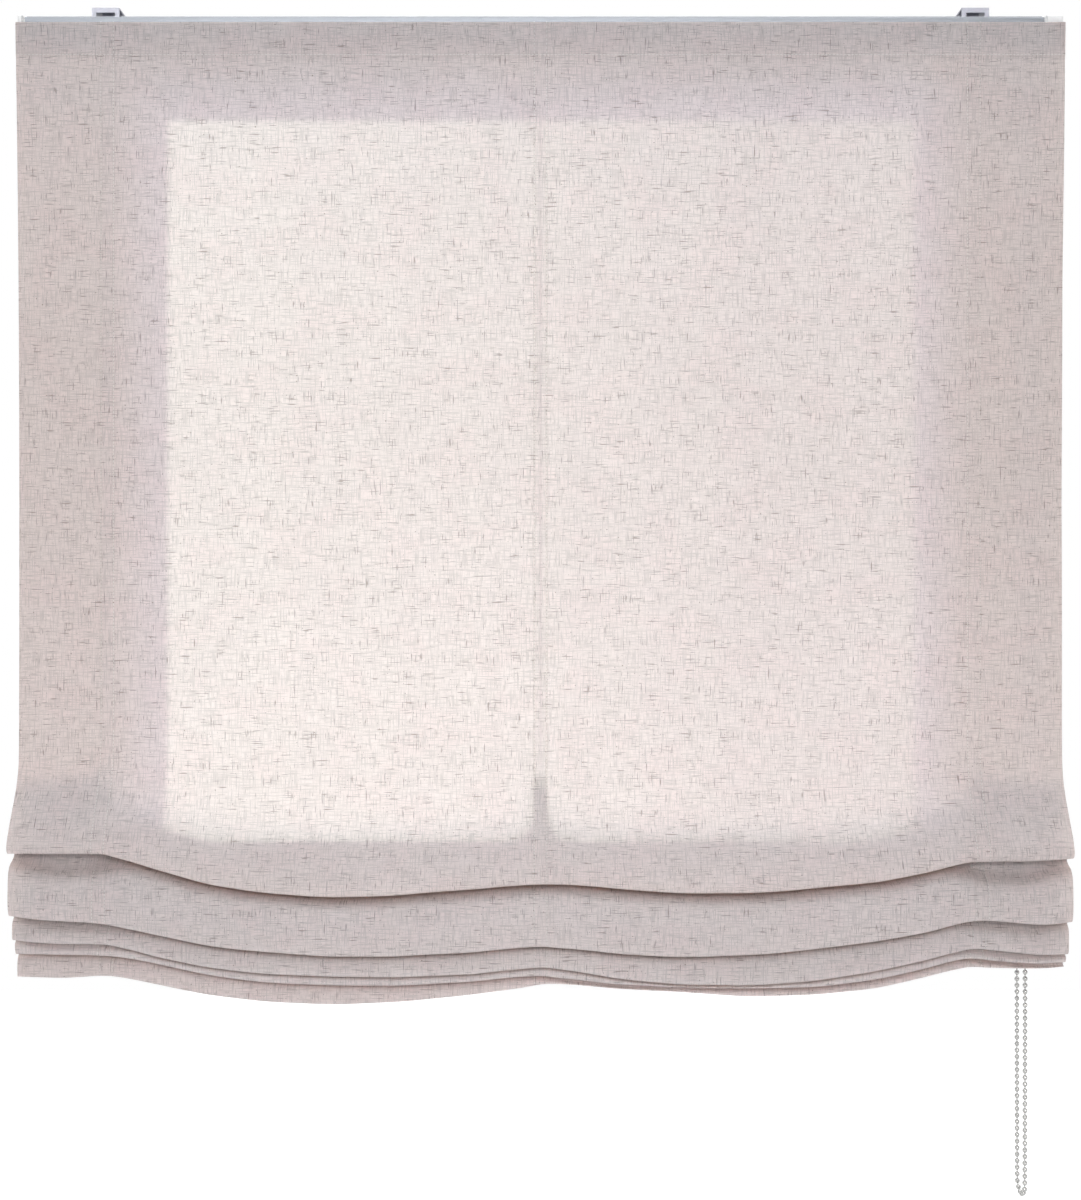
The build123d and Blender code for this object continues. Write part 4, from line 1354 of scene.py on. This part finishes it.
class BLIND_OT_fittings(bpy.types.Operator):
    """Give the headrail, the drive, the brackets and the rings their finishes"""

    bl_idname = "blind.fittings"
    bl_label = "Fittings"

    def execute(self, context):
        hardware = context.scene.blind_hardware
        cloth = context.scene.blind_cloth
        chain = context.scene.blind_chain
        moulding = tuple(hardware.moulding)
        steel = tuple(hardware.steel)
        finishes = {
            "rail_aluminium": drawn_metal_finish(
                "anodised_aluminium", tuple(hardware.aluminium), 0.42, (12, 900, 900)
            ),
            "cap_plastic": moulded_finish("cap_plastic", tuple(hardware.cap), 0.42),
            "mechanism_plastic": moulded_finish("mechanism_plastic", moulding, 0.5),
            "wheel_plastic": moulded_finish("wheel_plastic", DARK_PLASTIC, 0.5),
            "drum_plastic": moulded_finish("drum_plastic", shaded(moulding, 0.8), 0.4),
            "lift_cord": thread_finish("wound_cord", tuple(chain.cord_colour), 1300.0),
            "shaft_steel": drawn_metal_finish("shaft_steel", steel, 0.35, (15, 1200, 1200)),
            "spring_steel": drawn_metal_finish(
                "spring_steel", shaded(steel, 0.6), 0.3, (900, 60, 60)
            ),
            "bracket_steel": painted_finish("bracket_paint", tuple(hardware.bracket)),
            # The lever's paint is the bracket's paint darkened: partly the lever's own darker paint, partly
            # painted shade of the gap between the bracket plate and the rail.
            "lever_steel": painted_finish("lever_paint_and_painted_shade", shaded(tuple(hardware.bracket), 0.8)),
            "ring_tape": finish_once("woven_tape", tape_finish, tuple(cloth.tape_colour)),
            "ring_plastic": moulded_finish("ring_plastic", RING_WHITE, 0.3, 900.0, 0.3),
            "hook_tape": pile_finish("hook_tape", HOOK_WHITE, 900.0),
            "loop_tape": pile_finish("loop_tape", LOOP_WHITE, 1300.0),
            "connector_plastic": moulded_finish(
                "connector_plastic", CLEAR_PLASTIC, 0.2, 700.0, 0.5
            ),
        }
        subparts = frame["record"]["subparts"]
        slot_of = {subpart["node"]: subpart["material_slot"] for subpart in subparts}
        for name, node in frame["nodes"].items():
            if node.hide_render:
                continue
            finish = finishes[slot_of[name]]
            if not node.data.materials:
                node.data.materials.append(finish)
            for material_slot in node.material_slots:
                material_slot.material = finish
        return {"FINISHED"}


class BLIND_PT_panel(bpy.types.Panel):
    """Sizes, colours and building steps of the blind"""

    bl_idname = "BLIND_PT_panel"
    bl_label = "Roman Blind"
    bl_space_type = "VIEW_3D"
    bl_region_type = "UI"
    bl_category = "Blind"

    def draw(self, context):
        layout = self.layout
        for heading, owner in SETTINGS.items():
            box = layout.box()
            box.label(text=heading)
            group = getattr(context.scene, owner)
            for key in group.__annotations__:
                box.prop(group, key)
        for operator in BUILD_ORDER:
            layout.operator(operator.bl_idname)


SETTINGS = {
    "Cloth": "blind_cloth",
    "Chain and cords": "blind_chain",
    "Hardware": "blind_hardware",
    "Stage": "blind_stage",
}
GROUPS = (BlindClothSettings, BlindChainSettings, BlindHardwareSettings, BlindStageSettings)
BUILD_ORDER = (
    BLIND_OT_stage,
    BLIND_OT_ball_chain,
    BLIND_OT_lift_cords,
    BLIND_OT_upper_cloth,
    BLIND_OT_folded_cloth,
    BLIND_OT_ring_tapes,
    BLIND_OT_fittings,
)


def register():
    for cls in (*GROUPS, *BUILD_ORDER, BLIND_PT_panel):
        bpy.utils.register_class(cls)
    for owner, group in zip(SETTINGS.values(), GROUPS):
        setattr(bpy.types.Scene, owner, bpy.props.PointerProperty(type=group))


def unregister():
    for owner in SETTINGS.values():
        delattr(bpy.types.Scene, owner)
    for cls in reversed((*GROUPS, *BUILD_ORDER, BLIND_PT_panel)):
        bpy.utils.unregister_class(cls)


def main():
    register()
    for operator in BUILD_ORDER:
        group, name = operator.bl_idname.split(".")
        getattr(getattr(bpy.ops, group), name)()


if __name__ == "__main__":
    main()
